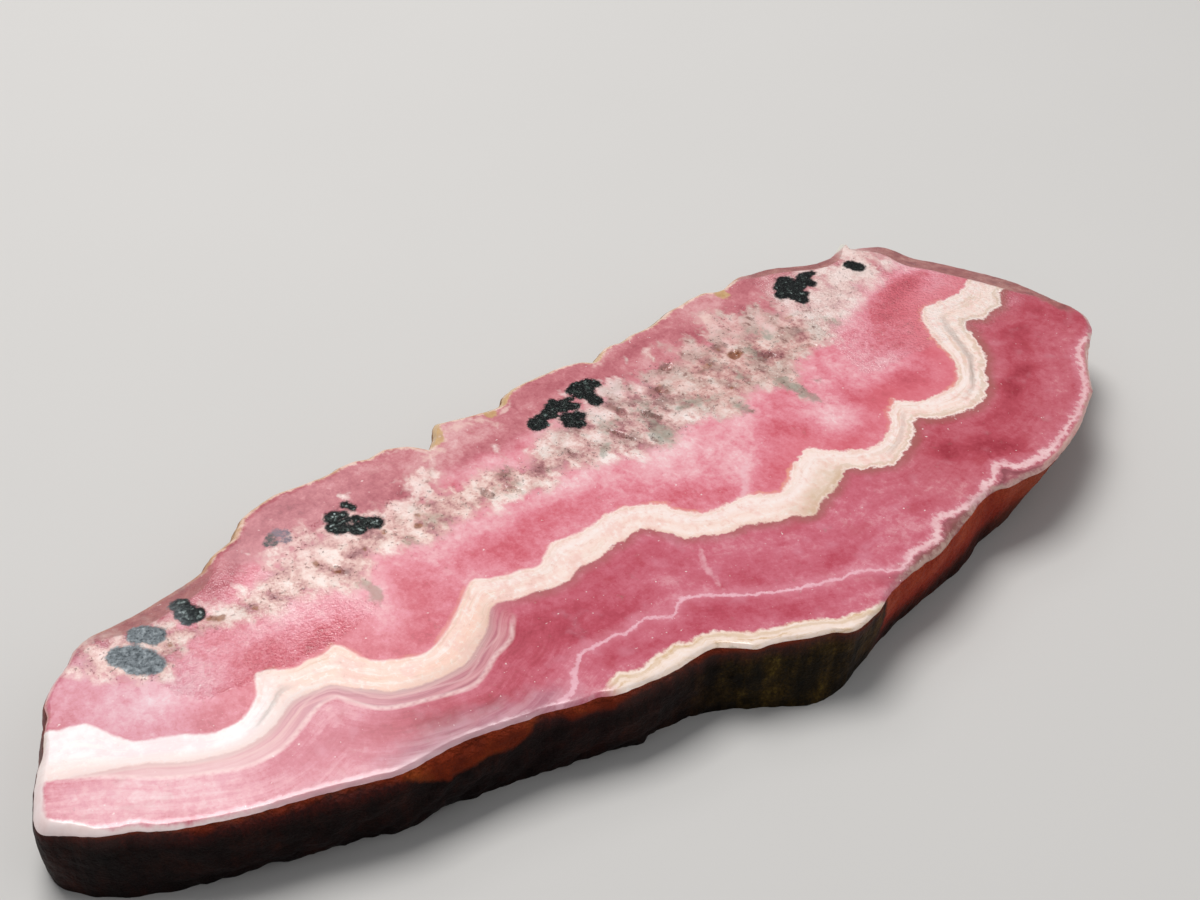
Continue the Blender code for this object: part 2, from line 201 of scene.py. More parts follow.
LINE_THREE = (
    (-17.6, -12.9), (-16.5, -12.35), (-15.2, -11.9), (-14, -11.3), (-13.5, -10.4), (-12.6, -9.7),
    (-11.85, -9.2), (-10.4, -9.4), (-9.1, -9.3), (-8.3, -9.7), (-6.9, -9.5), (-6, -9.4), (-4.9, -10.4),
    (-4.05, -10.3), (-2.95, -9.6), (-2.1, -9.7), (-0.5, -10.8), (1.2, -12), (3, -13.1), (4.3, -13.8),
    (6.1, -14.45), (7.8, -15.1), (9.4, -15.4), (10.7, -16.1), (11.4, -16.8), (12.7, -17.3),
    (14.5, -16.6), (16.9, -16.7), (18, -15.8), (18.9, -15), (20.2, -15.4), (23.4, -15.3), (24.7, -14.7),
    (26, -14.5), (26.9, -13.65), (27.8, -13.65), (28.2, -14.5), (29.5, -14.9), (31.5, -15), (34, -14.4),
    (37.6, -13.1), (39.8, -12.1), (41.3, -11), (42.6, -9.6), (43.9, -8.2), (44.8, -7.3), (46.1, -6.8),
    (48, -6.4),
)
RIM_BAND = (
    (-14.5, -13.6), (-12.6, -12.8), (-11, -12.3), (-10.4, -12.8), (-9.1, -13), (-8.3, -12.7),
    (-6.9, -12.8), (-6, -12.6), (-5.15, -13.2), (-3.8, -13.1), (-2.7, -13.7), (-1.6, -14.6),
    (-1.2, -15), (0.1, -15.7), (1.7, -16.3), (3.2, -16.9), (4.1, -17.4), (5, -18.1), (6.3, -18.5),
    (7.8, -18.9), (9.2, -18.8), (10.2, -19.3),
)
PALE_STREAKS = (
    ((1.9, -6.4), (1.0, -7.8), (0.7, -9.2), (0.4, -10.6)),
    ((8.6, -3.6), (9.6, -2.7), (10.4, -1.6), (11.5, -0.8)),
)

# The grey-white matrix zone, round its edge.
MATRIX = (
    (-42, 11.8), (-40, 9.6), (-38.6, 7.6), (-36.3, 6.8), (-35, 8), (-33.8, 9.3), (-31, 8.7), (-29, 8.3),
    (-26.5, 7.9), (-25, 7.9), (-23.2, 7.7), (-22, 6.8), (-21.2, 6), (-20, 6.2), (-19.3, 7.2),
    (-18.4, 8.3), (-17, 8.3), (-15.9, 8), (-14.8, 7.3), (-12.8, 7), (-10.5, 7.6), (-8, 7.6),
    (-6.5, 7.2), (-5.3, 7.3), (-3.8, 6.5), (-2, 6.6), (-1.5, 7.4), (-0.2, 7.3), (1.2, 6.5), (3.3, 6.4),
    (4.6, 5.5), (6, 5), (7.5, 4.6), (9, 5), (11, 5.6), (13, 6), (14, 4.4), (15.6, 4), (17, 5.7),
    (19, 5.9), (20.4, 4.4), (21.4, 2.4), (22.3, 4.2), (23.5, 6.5), (25, 7), (28.5, 7), (30, 7.8),
    (31.5, 8.8), (33.5, 9.8), (36, 10.8), (38, 11.4), (39.8, 12.4), (41.6, 14.2), (41.5, 17),
    (40, 18.5), (38, 15.7), (35.5, 15.4), (33, 15.2), (30, 15.2), (27, 15.3), (25, 15.2), (23.3, 15.3),
    (22.6, 17), (21, 16.7), (19.6, 14.4), (17.6, 15), (15, 14.8), (12.5, 13.9), (10, 14), (8.5, 15.1),
    (5, 13.4), (0.4, 12.6), (-1.4, 11), (-3.2, 10.2), (-4.6, 11.6), (-7.5, 11.2), (-9.2, 11.3),
    (-9.9, 14.2), (-11, 14.4), (-11.9, 12.4), (-13.3, 13.4), (-15.2, 13.2), (-16.2, 14), (-20.2, 14),
    (-21.6, 14.8), (-23.4, 13.3), (-25.4, 12.4), (-27, 10.9), (-30, 10.6), (-33, 10.9), (-35.5, 13.2),
    (-38, 13.6), (-40.5, 13.2),
)

# Lobes of the sulphide grains: x, y, radius.
GRAINS = (
    (-38.3, 10.9, 0.95), (-37.7, 10.3, 1.15), (-37.3, 9.4, 1.3), (-36.8, 8.6, 0.9), (-36.1, 12, 0.95),
    (-35.4, 11.2, 0.9), (-35.8, 11.7, 0.8), (-36.4, 12.6, 0.4), (-32.4, 13.1, 0.75), (-32.5, 12, 0.85),
    (-32, 11.3, 0.8), (-32.7, 11, 0.5), (-18.4, 14.2, 0.75), (-17.7, 14, 0.45), (-18.9, 13.1, 0.75),
    (-18.6, 12.6, 0.6), (-16.9, 14.9, 0.45), (-16.7, 14.3, 0.4), (-17.1, 13, 0.45), (-17.6, 11.9, 0.75),
    (-16.2, 11.7, 0.75), (-16.7, 12.3, 0.5), (-17.8, 13.3, 0.4), (0.6, 13.3, 0.4), (1.1, 13.7, 0.9),
    (1.9, 14.1, 0.6), (2.7, 14.2, 0.8), (3.4, 14.7, 0.7), (4.2, 14.3, 0.9), (3.8, 15.3, 0.4),
    (4.9, 13.7, 0.55), (3.6, 12.7, 0.75), (3.2, 12.1, 0.6), (3.8, 11.6, 0.65), (4.5, 12.4, 0.6),
    (5.2, 14.7, 0.35), (6.2, 15.5, 0.65), (6.9, 15.6, 0.7), (7.7, 15.4, 0.75), (8.2, 15, 0.5),
    (6.3, 14.6, 0.6), (6.8, 13.9, 0.6), (6.8, 13.1, 0.65), (7.2, 14.5, 0.5), (31.5, 16.4, 0.85),
    (30.6, 15.9, 0.7), (29.9, 15, 0.7), (30.8, 15, 0.85), (31.9, 15.2, 0.85), (30.7, 14.1, 0.7),
    (30.8, 13.3, 0.65), (31.5, 13.9, 0.6), (33.1, 15.6, 0.75), (33.9, 15.9, 0.55), (34.5, 15.9, 0.35),
    (33.2, 14.7, 0.55), (33.5, 16.2, 0.35), (38.3, 14.6, 0.7), (38.5, 14, 0.75),
)
FAINT_GRAINS = (
    (-23.7, 14.7, 0.6), (-22.8, 15.3, 0.55), (-22.4, 14.9, 0.5), (-23.4, 15.2, 0.45),
    (-22.6, 14.2, 0.45),
)

# Soft patches: x, y, half length, half width, strength, and the turn from x in degrees if any.
DEEP_PATCHES = (
    (25, 6.6, 2.5, 1.2, 0.25), (30.5, 6.2, 2, 1, 0.25), (20.5, 3, 1.6, 1.2, 0.2),
    (-22, 17.4, 5, 1.2, 0.2), (-26.5, 3, 3.4, 2.2, 0.15), (-24, -8.4, 4, 1.4, 0.25, -10),
    (-34.4, 2.4, 2.8, 1.6, 0.25, 20), (-29.6, 4, 2.6, 1.8, 0.3), (-26.1, 3.4, 0.9, 1.4, 0.4, -20),
    (-23.5, 2.5, 1.6, 3, 0.4, 15), (-18.6, 2.8, 1.7, 2.4, 0.3, -20), (-21, -0.8, 3, 1.4, 0.4, 5),
    (-27.5, 0.9, 2.6, 1, 0.35, -10), (-17, 5.2, 1.4, 2, 0.2), (-11, 3.9, 1.8, 1.6, 0.35, -20),
    (-9.2, 2, 1.2, 1.2, 0.25), (-5.2, 3.6, 2.4, 1.3, 0.4), (-1.8, 3, 2, 1.4, 0.25),
    (2.6, 2.6, 0.5, 0.9, 0.25), (6, -1, 2.4, 1.6, 0.35, -20), (8.2, -2.6, 1.6, 0.8, 0.3),
    (12.8, -2.6, 1.8, 1.2, 0.3, 20), (9, 1, 0.8, 1.2, 0.25), (16.2, 0.9, 1.6, 1.2, 0.45, 10),
    (20.5, -3.9, 2.4, 1.2, 0.45), (18, -1.2, 1.4, 1.4, 0.25), (24.6, 0.2, 1, 1.6, 0.4, 20),
    (26.1, -1.4, 1.2, 1, 0.55, 30), (29.4, -1.3, 2.6, 1.8, 0.6), (32.3, 3.8, 2.2, 1.6, 0.6, -10),
    (33.5, 0.9, 1.5, 1.6, 0.3), (35.6, 7, 2.2, 2.2, 0.6, 40), (39.2, 9.1, 2.2, 1.1, 0.7, 15),
    (41.8, 9.1, 1.4, 0.9, 0.35), (34.6, 7.2, 1.2, 1, 0.3), (18.6, 3.6, 1.6, 1.2, 0.2),
    (-13, 4.2, 1, 1, 0.15), (-12, -5.2, 4, 1.4, 0.5, -8), (-9, -8.2, 2.5, 0.8, 0.55),
    (-11.6, -7.2, 1.4, 0.9, 0.5), (-5, -4.2, 3, 1.4, 0.4), (-1.6, -5.2, 1.6, 1.4, 0.25),
    (-6, -7.4, 2.6, 1, 0.35), (-4, -11.9, 3.6, 0.9, 0.4), (-9.8, -11, 2, 0.8, 0.45),
    (-0.4, -12.8, 1.6, 1.4, 0.35, -30), (3.4, -10.6, 2.6, 1.6, 0.35, -20),
    (2.2, -15, 2.4, 0.8, 0.4, -30), (6, -16.2, 3, 0.8, 0.35, -12), (9.4, -13.4, 2, 0.9, 0.4),
    (10.5, -16.9, 1.6, 0.7, 0.25), (25.3, -9.8, 1.2, 1.1, 0.9, 30), (28.4, -11.4, 2, 1.2, 0.7, -10),
    (31.2, -9.4, 2, 1, 0.45), (30.4, -12.6, 1.6, 0.9, 0.6), (36.2, -7.3, 1.8, 1.2, 0.8, 20),
    (38.7, -6.3, 1, 0.8, 0.85), (42.6, -1.8, 1.8, 0.8, 0.6), (41, -3.6, 2.4, 1, 0.45, 20),
    (46, -0.9, 1.2, 1, 0.5), (47.8, -3.6, 1.2, 1.2, 0.55), (18.6, -13.4, 0.9, 0.9, 0.35),
    (33.6, -9, 2, 1, 0.4, 20), (-19.8, -9.3, 0.8, 0.5, 0.5, 10), (-23.5, -8, 1.6, 0.7, 0.2, -15),
    (-27.4, 13, 2.4, 1.1, 0.45), (-22, 16.5, 3, 0.9, 0.25, 5), (-31, -5.4, 4.2, 1.1, 0.4, -12),
    (-26, -6.6, 3.6, 1.2, 0.35, -8), (-21, -8.8, 4, 1.3, 0.6, -8), (-16, -6.6, 2.6, 2, 0.6, 10),
    (-24, -9.6, 3.4, 0.9, 0.35, -8), (-12.4, 12.6, 0.7, 1.6, 0.35), (-9, 11.2, 0.8, 1, 0.5),
    (-4, 13.8, 3, 1.1, 0.4), (-1.6, 11.6, 1.2, 1.2, 0.3), (4.2, 17, 2.6, 0.7, 0.35),
    (10, 15.2, 1.6, 1.2, 0.35), (12.4, 16.6, 1.8, 0.7, 0.4), (15.4, 17.1, 1.8, 0.8, 0.45),
    (19, 14.8, 1.6, 1.8, 0.45), (24.6, 15.6, 1.4, 1.6, 0.35), (28, 18, 1.8, 0.9, 0.4),
    (26, 16.4, 1.6, 0.9, 0.25), (-20.5, 17.6, 2.4, 0.7, 0.15),
)
PALE_PATCHES = (
    (-29, 6.9, 3.2, 0.9, 0.4), (-25.6, 5.6, 2.4, 1.2, 0.2), (-3, 15.4, 2, 1.5, 0.35),
    (-20.8, 4.6, 1.8, 2, 0.2), (-46.5, 0.4, 1.6, 1.4, 0.4), (-40, 6, 3.6, 2.6, 0.45),
    (-36, 5.2, 3.4, 1.8, 0.5), (-8, 15.6, 4, 1.2, 0.35), (10, -2.2, 1, 0.8, 0.3),
    (-10, 6.2, 3, 0.7, 0.25), (-3, 5.9, 3.5, 0.7, 0.4), (5.2, 2.4, 2.6, 1.8, 0.4),
    (7.4, 4, 2.4, 0.9, 0.4), (11.2, -0.8, 1.5, 0.9, 0.35, 40), (9.2, -3.2, 0.9, 0.5, 0.35, 30),
    (12, 2.6, 2, 2, 0.15), (14.6, 3.2, 1, 2, 0.35), (21.6, -1.4, 1.6, 1.6, 0.55),
    (28, 3.6, 2.2, 1, 0.15, 20), (29.6, 5.9, 1.2, 0.7, 0.25), (29.4, 1.3, 1.6, 0.8, 0.2, 20),
    (33, 9.6, 1.6, 0.8, 0.35, 30), (24, 5, 2.6, 1.6, -0.15), (0.2, 5.6, 2.2, 0.9, 0.3),
    (-44, -1.4, 3, 2, 0.4, -25), (-40, -4, 4, 1.6, 0.35, -20), (17, -14.6, 2.4, 0.9, 0.3, 10),
    (20, -9.4, 2.4, 0.7, 0.15, 10), (34.4, -12.6, 2.6, 0.8, 0.35, 20), (39.4, -9.4, 2, 0.9, 0.25, 35),
    (45, -5.4, 1.5, 0.6, 0.4, 20), (23.6, -13.4, 2.4, 0.7, 0.25, 10), (42.8, 1.2, 2.2, 0.6, 0.2),
    (43.2, -0.6, 0.9, 0.5, 0.35), (28, -9, 1.6, 0.8, 0.2), (-2.2, -7.2, 0.5, 0.6, 0.5),
    (22, 16.2, 0.9, 1.5, 0.7), (16.9, 14.8, 0.8, 1.2, 0.4), (-12.8, 17.4, 1.8, 0.9, 0.3),
    (-5, 17.6, 1.6, 1, 0.4), (14, 14.6, 1.2, 0.6, 0.4), (-24, 17.8, 1.4, 0.6, 0.2, 30),
    (-43.4, 9.6, 1.4, 1.4, 0.25), (-41, 11.4, 1.2, 0.9, 0.2), (42.4, 11.8, 1.2, 1.2, 0.3),
    (43.4, 7.6, 1.2, 1.2, 0.3), (41.4, 6.8, 1.6, 0.8, 0.2),
)
GREY_PATCHES = (
    (8.4, 6.6, 1.1, 1.6, 0.9), (13.6, 8, 1.4, 0.8, 0.8, -20), (16, 4.5, 0.6, 1.1, 0.8, 20),
    (21.6, 3.2, 0.45, 2, 1, 5), (20.9, 5.2, 0.7, 0.8, 0.6), (23.6, 3.7, 0.5, 0.6, 0.6),
    (30.7, 8.9, 0.7, 1, 0.8, 10), (18.9, 8, 0.8, 0.9, 0.7), (21.9, 10, 0.8, 1.1, 0.8, 20),
    (24.2, 12, 0.9, 1.4, 0.6, 20), (11.9, 7.7, 0.8, 0.5, 0.6), (9.4, 9.6, 1.4, 1.6, 0.6),
    (5.4, 9.6, 1.2, 1.6, 0.5), (3.4, 7.7, 0.8, 0.6, 0.9, 20), (-12, 8.6, 1.2, 1, 0.6),
    (-15.1, 8.3, 0.5, 0.7, 0.8), (-20.3, 5.8, 0.5, 1.2, 1.3, 10), (-20.7, 4.4, 0.5, 0.6, 1),
    (-5.6, 8.8, 1.4, 1.2, 0.6), (-4.4, 10.6, 0.8, 0.8, 0.6), (-35, 8.6, 0.8, 0.8, 0.5),
    (-12.6, 10, 0.8, 1, 0.5), (17.2, 10.6, 1, 0.8, 0.5), (26.4, 9.6, 1.4, 1.2, 0.4),
    (-3.1, -15.5, 0.9, 0.35, 1, -40),
)
OCHRE_PATCHES = (
    (-6.3, 17.5, 0.35, 1.5, 1, -33), (-4.2, 18.6, 1.1, 0.35, 0.9, -12), (-1.3, 17.4, 0.6, 0.7, 1, 10),
    (1, 18.2, 1.1, 0.3, 0.9, 32), (-8.5, 17.8, 0.9, 0.3, 0.8, -50), (10.2, 17.8, 1, 0.4, 0.8),
    (25.6, 18.6, 0.6, 0.9, 0.9, 10), (2.6, 18.8, 0.8, 0.3, 0.5), (-16, 18.9, 1.4, 0.25, 0.4),
)
CREAM_PATCHES = (
    (-5.9, 17.3, 0.28, 1.1, 0.7, -33), (-4.5, 17.4, 0.5, 0.5, 0.7), (-3.6, 17.3, 0.4, 0.7, 0.7, 10),
    (-2.5, 17.3, 0.35, 0.8, 0.75, 28), (-8.7, 16.9, 1, 0.25, 0.8, -50), (-7.5, 15.9, 0.5, 0.35, 0.8),
    (0.3, 17.1, 1, 0.25, 0.7, 28), (-1.8, 15.8, 0.3, 0.7, 0.7, 20), (-0.5, 16.6, 0.5, 0.3, 0.5),
    (-10.4, 18.1, 0.9, 0.3, 0.6, -20), (9.9, 17.1, 1, 0.3, 0.6, 10), (-12.6, 17.2, 1.3, 0.5, 0.35),
    (11.8, 17.8, 1.2, 0.25, 0.6, 20), (24.6, 18.9, 0.5, 0.4, 0.6), (26.6, 18.6, 0.4, 0.4, 0.6),
    (-8.9, 15.8, 0.5, 0.4, 0.5), (-3.4, 15.4, 0.9, 0.25, 0.4, 20), (22, 16.3, 0.8, 1, 0.6),
)
RUST_PATCHES = (
    (-30.7, 9.8, 0.5, 0.3, 1.2), (-31.3, 10.3, 0.4, 0.3, 1), (-28.2, 9.2, 0.25, 0.4, 1),
    (-22.2, 10.5, 0.25, 0.5, 1.2), (-21.3, 8.8, 0.3, 0.25, 1.3), (-13.7, 9.3, 0.35, 0.35, 1.3),
    (-18.4, 9.6, 0.22, 0.35, 1.1), (-16.2, 10.3, 0.35, 0.25, 1), (20.5, 10.8, 0.75, 0.6, 1.2),
    (17.4, 11, 0.7, 0.5, 0.7), (-13.1, 10.4, 0.3, 0.35, 0.9), (-34.9, 9.7, 0.3, 0.25, 1.1),
    (12.3, 11.2, 0.4, 0.6, 0.6), (28, 11.9, 1.1, 0.5, 0.5), (17.1, 7.4, 0.3, 0.3, 0.7),
    (25.7, 18.3, 0.5, 1, 0.7, 10), (19.6, 12.2, 0.5, 0.4, 0.6),
)
BROWN_PATCHES = (
    (-11.7, 10.8, 0.35, 0.35, 0.8), (-9.6, 9.1, 0.5, 0.4, 0.6), (-7.2, 8.7, 0.45, 0.6, 0.9, 20),
    (-7.5, 9.7, 0.3, 0.5, 0.7, 20), (-5, 10.4, 0.5, 0.6, 0.7), (-4.4, 9, 0.4, 0.5, 0.7),
    (5.6, 8.4, 0.25, 1.3, 1, 20), (7.6, 5.8, 0.2, 0.7, 0.8, 10), (9.2, 9.2, 0.4, 0.7, 0.9, 20),
    (7.5, 11.6, 0.35, 0.7, 0.8, 20), (9.7, 8.3, 0.4, 0.4, 0.8), (12.2, 10.5, 0.5, 0.7, 0.8),
    (11, 11.2, 0.9, 0.5, 0.5), (14.4, 13, 1.2, 0.7, 0.7), (17, 10.6, 0.9, 0.5, 0.7, -10),
    (18.7, 10.4, 0.4, 0.4, 0.7), (20.1, 12.6, 0.9, 0.8, 0.7), (18.2, 12.3, 1.4, 0.7, 0.4),
    (20.6, 9, 0.8, 0.4, 0.6), (11.6, 7.7, 0.9, 0.25, 0.7), (22.6, 8.8, 0.6, 0.5, 0.7),
    (14.6, 9.4, 0.5, 0.4, 0.5), (16.4, 3.9, 0.25, 0.4, 0.6), (35.4, 4.1, 0.8, 1.3, 0.4, -15),
    (24.6, -8.7, 1.2, 0.6, 0.3),
)

DRIFT = (0.16, -0.22)       # how far the bands move for each millimetre down into the slab
DRIFT_WARP = 0.22           # and how far they bend
DRIFT_WARP_SIZE = 11.0
RAGGED, RAGGED_SIZE = 0.5, 0.8          # how far the outlines of ragged patches wander
PATCH_FALL, PATCH_FLATNESS = 0.7, 1.4   # how a patch fades: a higher power has a flatter middle
LINE_SPACING = 0.5          # between the points of a smooth line
FAR = 90                    # well beyond the slab
CLOUDS = ((0.45, 4.2, 0), (0.25, 2.1, 5), (0.14, 1.05, 6))
PATCHY = ((0.5, 1.7, 7), (0.3, 0.85, 8))
MASK_BLEND = 1.2            # length over which one stretch's mask turns into the next
BLOCK = 4000                # points whose nearest stations are looked for at once


# ---------------------------------------------------------------- shape

def catmull_rom(points, spacing, closed=True):
    """Points of a Catmull-Rom curve, about `spacing` apart, and each one's place in `points`."""
    points = np.asarray(points, float)
    count = len(points)
    curve, places = [], []
    for i in range(count if closed else count - 1):
        picks = [(i + k) % count if closed else min(max(i + k, 0), count - 1) for k in (-1, 0, 1, 2)]
        before, start, end, after = points[picks]
        steps = max(1, round(math.dist(start, end) / spacing))
        for step in range(steps):
            t = step / steps
            curve.append(0.5 * (2 * start + (end - before) * t
                                + (2 * before - 5 * start + 4 * end - after) * t ** 2
                                + (3 * start - before - 3 * end + after) * t ** 3))
            places.append(i + t)
    if not closed:
        curve.append(points[-1])
        places.append(count - 1)
    return np.array(curve), np.array(places)


def smooth_round(values, length, reach):
    """Values at the stations of the closed rim, averaged with a bell curve of the given reach."""
    total = length[-1]
    apart = np.abs(length[:-1, None] - length[None, :-1])
    apart = np.minimum(apart, total - apart)
    steps = np.diff(length)
    share = (steps + np.roll(steps, 1)) / 2
    weights = np.exp(-0.5 * (apart / reach) ** 2) * share
    return weights @ values / weights.sum(axis=1, keepdims=True)


def rim_line():
    """The rim's stations, each one's place in the measured points, and the length up to each."""
    rim, places = catmull_rom([point for _, _, stretch in RIM for point in stretch], STATION_SPACING)
    steps = np.linalg.norm(np.roll(rim, -1, axis=0) - rim, axis=1)
    return rim, places, np.concatenate(([0.0], np.cumsum(steps)))


def rim_stations():
    """The rim's points, its smoothed line and outward normals, and the section values at each."""
    sections = np.array([section for _, section, stretch in RIM for _ in stretch])
    rim, places, length = rim_line()
    line = smooth_round(rim, length, SOFTENING)
    tangent = np.roll(line, -1, axis=0) - np.roll(line, 1, axis=0)
    tangent /= np.linalg.norm(tangent, axis=1)[:, None]
    outward = np.column_stack((-tangent[:, 1], tangent[:, 0]))
    values = smooth_round(sections[places.astype(int)], length, SECTION_BLEND)
    return rim, line, outward, dict(zip(SECTION_VALUES, values.T))


def broken_steps(x, y, z):
    """Height of the natural wall's ledges at a point, from -1 to 1, in steps with steep risers."""
    level = noise.noise(Vector((x, y, z)) / LEDGE_SPACING) * LEDGE_STEPS
    tread = math.floor(level)
    riser = min(1.0, max(0.0, (level - tread - LEDGE_TREAD) / LEDGE_RISER))
    return (tread + riser) / LEDGE_STEPS


def noise_at(points, size, seed=0.0):
    """Smooth noise from -1 to 1 at each point, with features of the given size."""
    shift = Vector((seed * 13.7, seed * 5.1, seed * 9.3))
    return np.array([noise.noise(Vector(point) / size + shift) for point in points])


def layered(points, layers):
    """Sum of noises at each point, each given by its height, size and seed."""
    return sum(height * noise_at(points, size, seed) for height, size, seed in layers)


def section_rings():
    """Rings of (x, y, z) points, from the polished face's edge down to the underside's edge."""
    rim, line, outward, section = rim_stations()
    flat = np.column_stack((rim, np.full(len(rim), THICKNESS)))
    chips = layered(flat, CHIPS)
    shelf = section["shelf"] * (1 + layered(flat, EDGE_WANDER) * (section["shelf"] < NARROW_SHELF))
    rings = []
    for ring in range(BEVEL_RINGS):
        share = ring / BEVEL_RINGS
        out = -shelf + share * (shelf + section["reach"] + chips)
        z = THICKNESS - section["drop"] * share ** section["curl"]
        rings.append(np.column_stack((rim + outward * out[:, None], z)))
    for ring in range(WALL_RINGS + 1):
        share = ring / WALL_RINGS
        detail = 1 - (1 - DETAIL_AT_BOTTOM) * share
        z = (THICKNESS - section["drop"]) * (1 - share)
        base = line + (rim - line) * detail + outward * section["reach"][:, None]
        places = np.column_stack((base, z))
        steps = np.array([broken_steps(*place) for place in places])
        steps += GRAIN_SHARE * noise_at(places, GRAIN_SPACING)
        lumps = (SMOOTH_LUMPS + section["rough"] * ROUGH_LUMPS) * layered(places, WALL_LUMPS)
        lumps *= min(1.0, LUMPS_AT_ARRIS + (1 - LUMPS_AT_ARRIS) * share / LUMPS_FULL_FROM)
        out = (section["lean"] * share
               + section["belly"] * math.sin(math.pi * share ** BELLY_HEIGHT)
               + min(1.0, share / ROUGH_FROM) * section["rough"] * steps
               + lumps + chips * (1 - share))
        rings.append(np.column_stack((base + outward * out[:, None], z)))
    return rings


def inside(points, outline):
    """Which points lie inside a closed outline."""
    x, y = points[:, 0], points[:, 1]
    found = np.zeros(len(points), bool)
    for (x0, y0), (x1, y1) in zip(outline, np.roll(outline, -1, axis=0)):
        if y0 != y1:
            crosses = (y0 > y) != (y1 > y)
            found ^= crosses & (x < (x1 - x0) * (y - y0) / (y1 - y0) + x0)
    return found


def line_distance(points, line):
    """Distance of each point from an open line of points."""
    nearest = np.full(len(points), np.inf)
    for start, end in zip(line[:-1], line[1:]):
        along = end - start
        offset = points - start
        t = np.clip(offset @ along / (along @ along), 0, 1)
        away = offset - t[:, None] * along
        nearest = np.minimum(nearest, np.einsum("ij,ij->i", away, away))
    return np.sqrt(nearest)


def turned(points, x, y, turn=0):
    """How far each point is from (x, y), along a direction turned from x by some degrees and across it."""
    c, s = math.cos(math.radians(turn)), math.sin(math.radians(turn))
    dx, dy = points[:, 0] - x, points[:, 1] - y
    return dx * c + dy * s, dy * c - dx * s


def vug_depth(points):
    """How far the vugs sink the polished face at each point, in millimetres."""
    depth = np.zeros(len(points))
    for index, (x, y, length, width, deep, turn) in enumerate(VUGS):
        along, across = turned(points, x, y, turn)
        radius = np.hypot(along / (length / 2), across / (width / 2))
        near = np.flatnonzero(radius < VUG_REACH)
        spots = np.column_stack((points[near], np.full(len(near), index * VUG_STRIDE)))
        ragged = radius[near] + layered(spots, VUG_RAGGEDNESS)
        hollow = np.clip(1 - ragged, 0, 1) ** VUG_STEEPNESS * deep * (1 + layered(spots, VUG_FLOOR))
        depth[near] = np.maximum(depth[near], hollow)
    return depth


def grid_inside(outline, spacing, spots=()):
    """Points of a triangular grid inside an outline, and of a finer one about each spot."""
    low, high = outline.min(axis=0), outline.max(axis=0)
    rows = np.arange(low[1], high[1], spacing * math.sqrt(3) / 2)
    columns = np.arange(low[0], high[0], spacing)
    grid = np.array([(x + spacing / 2 * (row % 2), y)
                     for row, y in enumerate(rows) for x in columns])
    for x, y, radius in spots:
        grid = grid[np.hypot(grid[:, 0] - x, grid[:, 1] - y) > radius]
    parts = [grid]
    for x, y, radius in spots:
        rings = max(2, round(radius / VUG_SPACING))
        for ring in range(rings):
            r = (ring + 0.5) / rings * radius
            angles = np.arange(0, 2 * math.pi, VUG_SPACING / r)
            parts.append(np.column_stack((x + r * np.cos(angles), y + r * np.sin(angles))))
    grid = np.concatenate(parts)
    grid = grid[inside(grid, outline)]
    closed = np.vstack((outline, outline[:1]))
    return grid[line_distance(grid, closed[::2]) > spacing * CLEAR_OF_EDGE]


def fill_outline(outline, grid):
    """Triangles between an outline's points and a grid's, as indices into the two in that order."""
    points = [Vector(p) for p in np.vstack((outline, grid))]
    count = len(outline)
    edges = [(i, (i + 1) % count) for i in range(count)]
    _, _, faces, origins, _, _ = geometry.delaunay_2d_cdt(points, edges, [], 1, 1e-7)
    return np.array([[origins[i][0] for i in face] for face in faces])


def slab_mesh():
    """The slab's points, faces and each face's material, in millimetres in the drawing frame."""
    rings = section_rings()
    count = len(rings[0])
    top_spots = [(x, y, length * VUG_FINE_MESH) for x, y, length, _, _, _ in VUGS]
    top = grid_inside(rings[0][:, :2], TOP_SPACING, top_spots)
    under = grid_inside(rings[-1][:, :2], UNDERSIDE_SPACING)
    places = np.vstack((*rings,
                        np.column_stack((top, THICKNESS - vug_depth(top))),
                        np.column_stack((under, np.zeros(len(under))))))
    first_top, first_under = len(rings) * count, len(rings) * count + len(top)
    faces, kinds = [], []
    for level in range(len(rings) - 1):
        upper, lower = level * count, (level + 1) * count
        for i in range(count):
            after = (i + 1) % count
            faces.append((upper + i, upper + after, lower + after, lower + i))
            kinds.append(POLISHED if level < BEVEL_RINGS else WALL)
    last = (len(rings) - 1) * count
    for kind, first, outline, grid_first, grid in ((POLISHED, 0, rings[0], first_top, top),
                                                   (SAWN, last, rings[-1], first_under, under)):
        triangles = fill_outline(outline[:, :2], grid)
        in_outline = triangles < count
        triangles = np.where(in_outline, triangles + first, triangles - count + grid_first)
        if kind == SAWN:
            triangles = triangles[:, ::-1]
        faces.extend(map(tuple, triangles))
        kinds.extend([kind] * len(triangles))
    return places, faces, kinds, rings


# ---------------------------------------------------------------- what the stone is at each point

def smooth_line(points):
    return catmull_rom(points, LINE_SPACING, closed=False)[0]


def above(points, line):
    """Distance from a line that runs across the slice, positive on its upper side."""
    line = smooth_line(line)
    right, left = line[-1] + (FAR, 0), line[0] - (FAR, 0)
    region = np.vstack((line, right, (right[0], FAR), (left[0], FAR), left))
    return line_distance(points, line) * np.where(inside(points, region), 1, -1)


def within(points, outline):
    """Distance from a closed outline, positive inside it."""
    outline = np.asarray(outline, float)
    closed = np.vstack((outline, outline[:1]))
    return line_distance(points, closed) * np.where(inside(points, outline), 1, -1)


def patches(points, spots):
    """Sum of soft patches at each point."""
    total = np.zeros(len(points))
    for x, y, length, width, strength, *turn in spots:
        along, across = turned(points, x, y, *turn)
        away = (along / length) ** 2 + (across / width) ** 2
        total += strength * np.exp(-PATCH_FALL * away ** PATCH_FLATNESS)
    return total


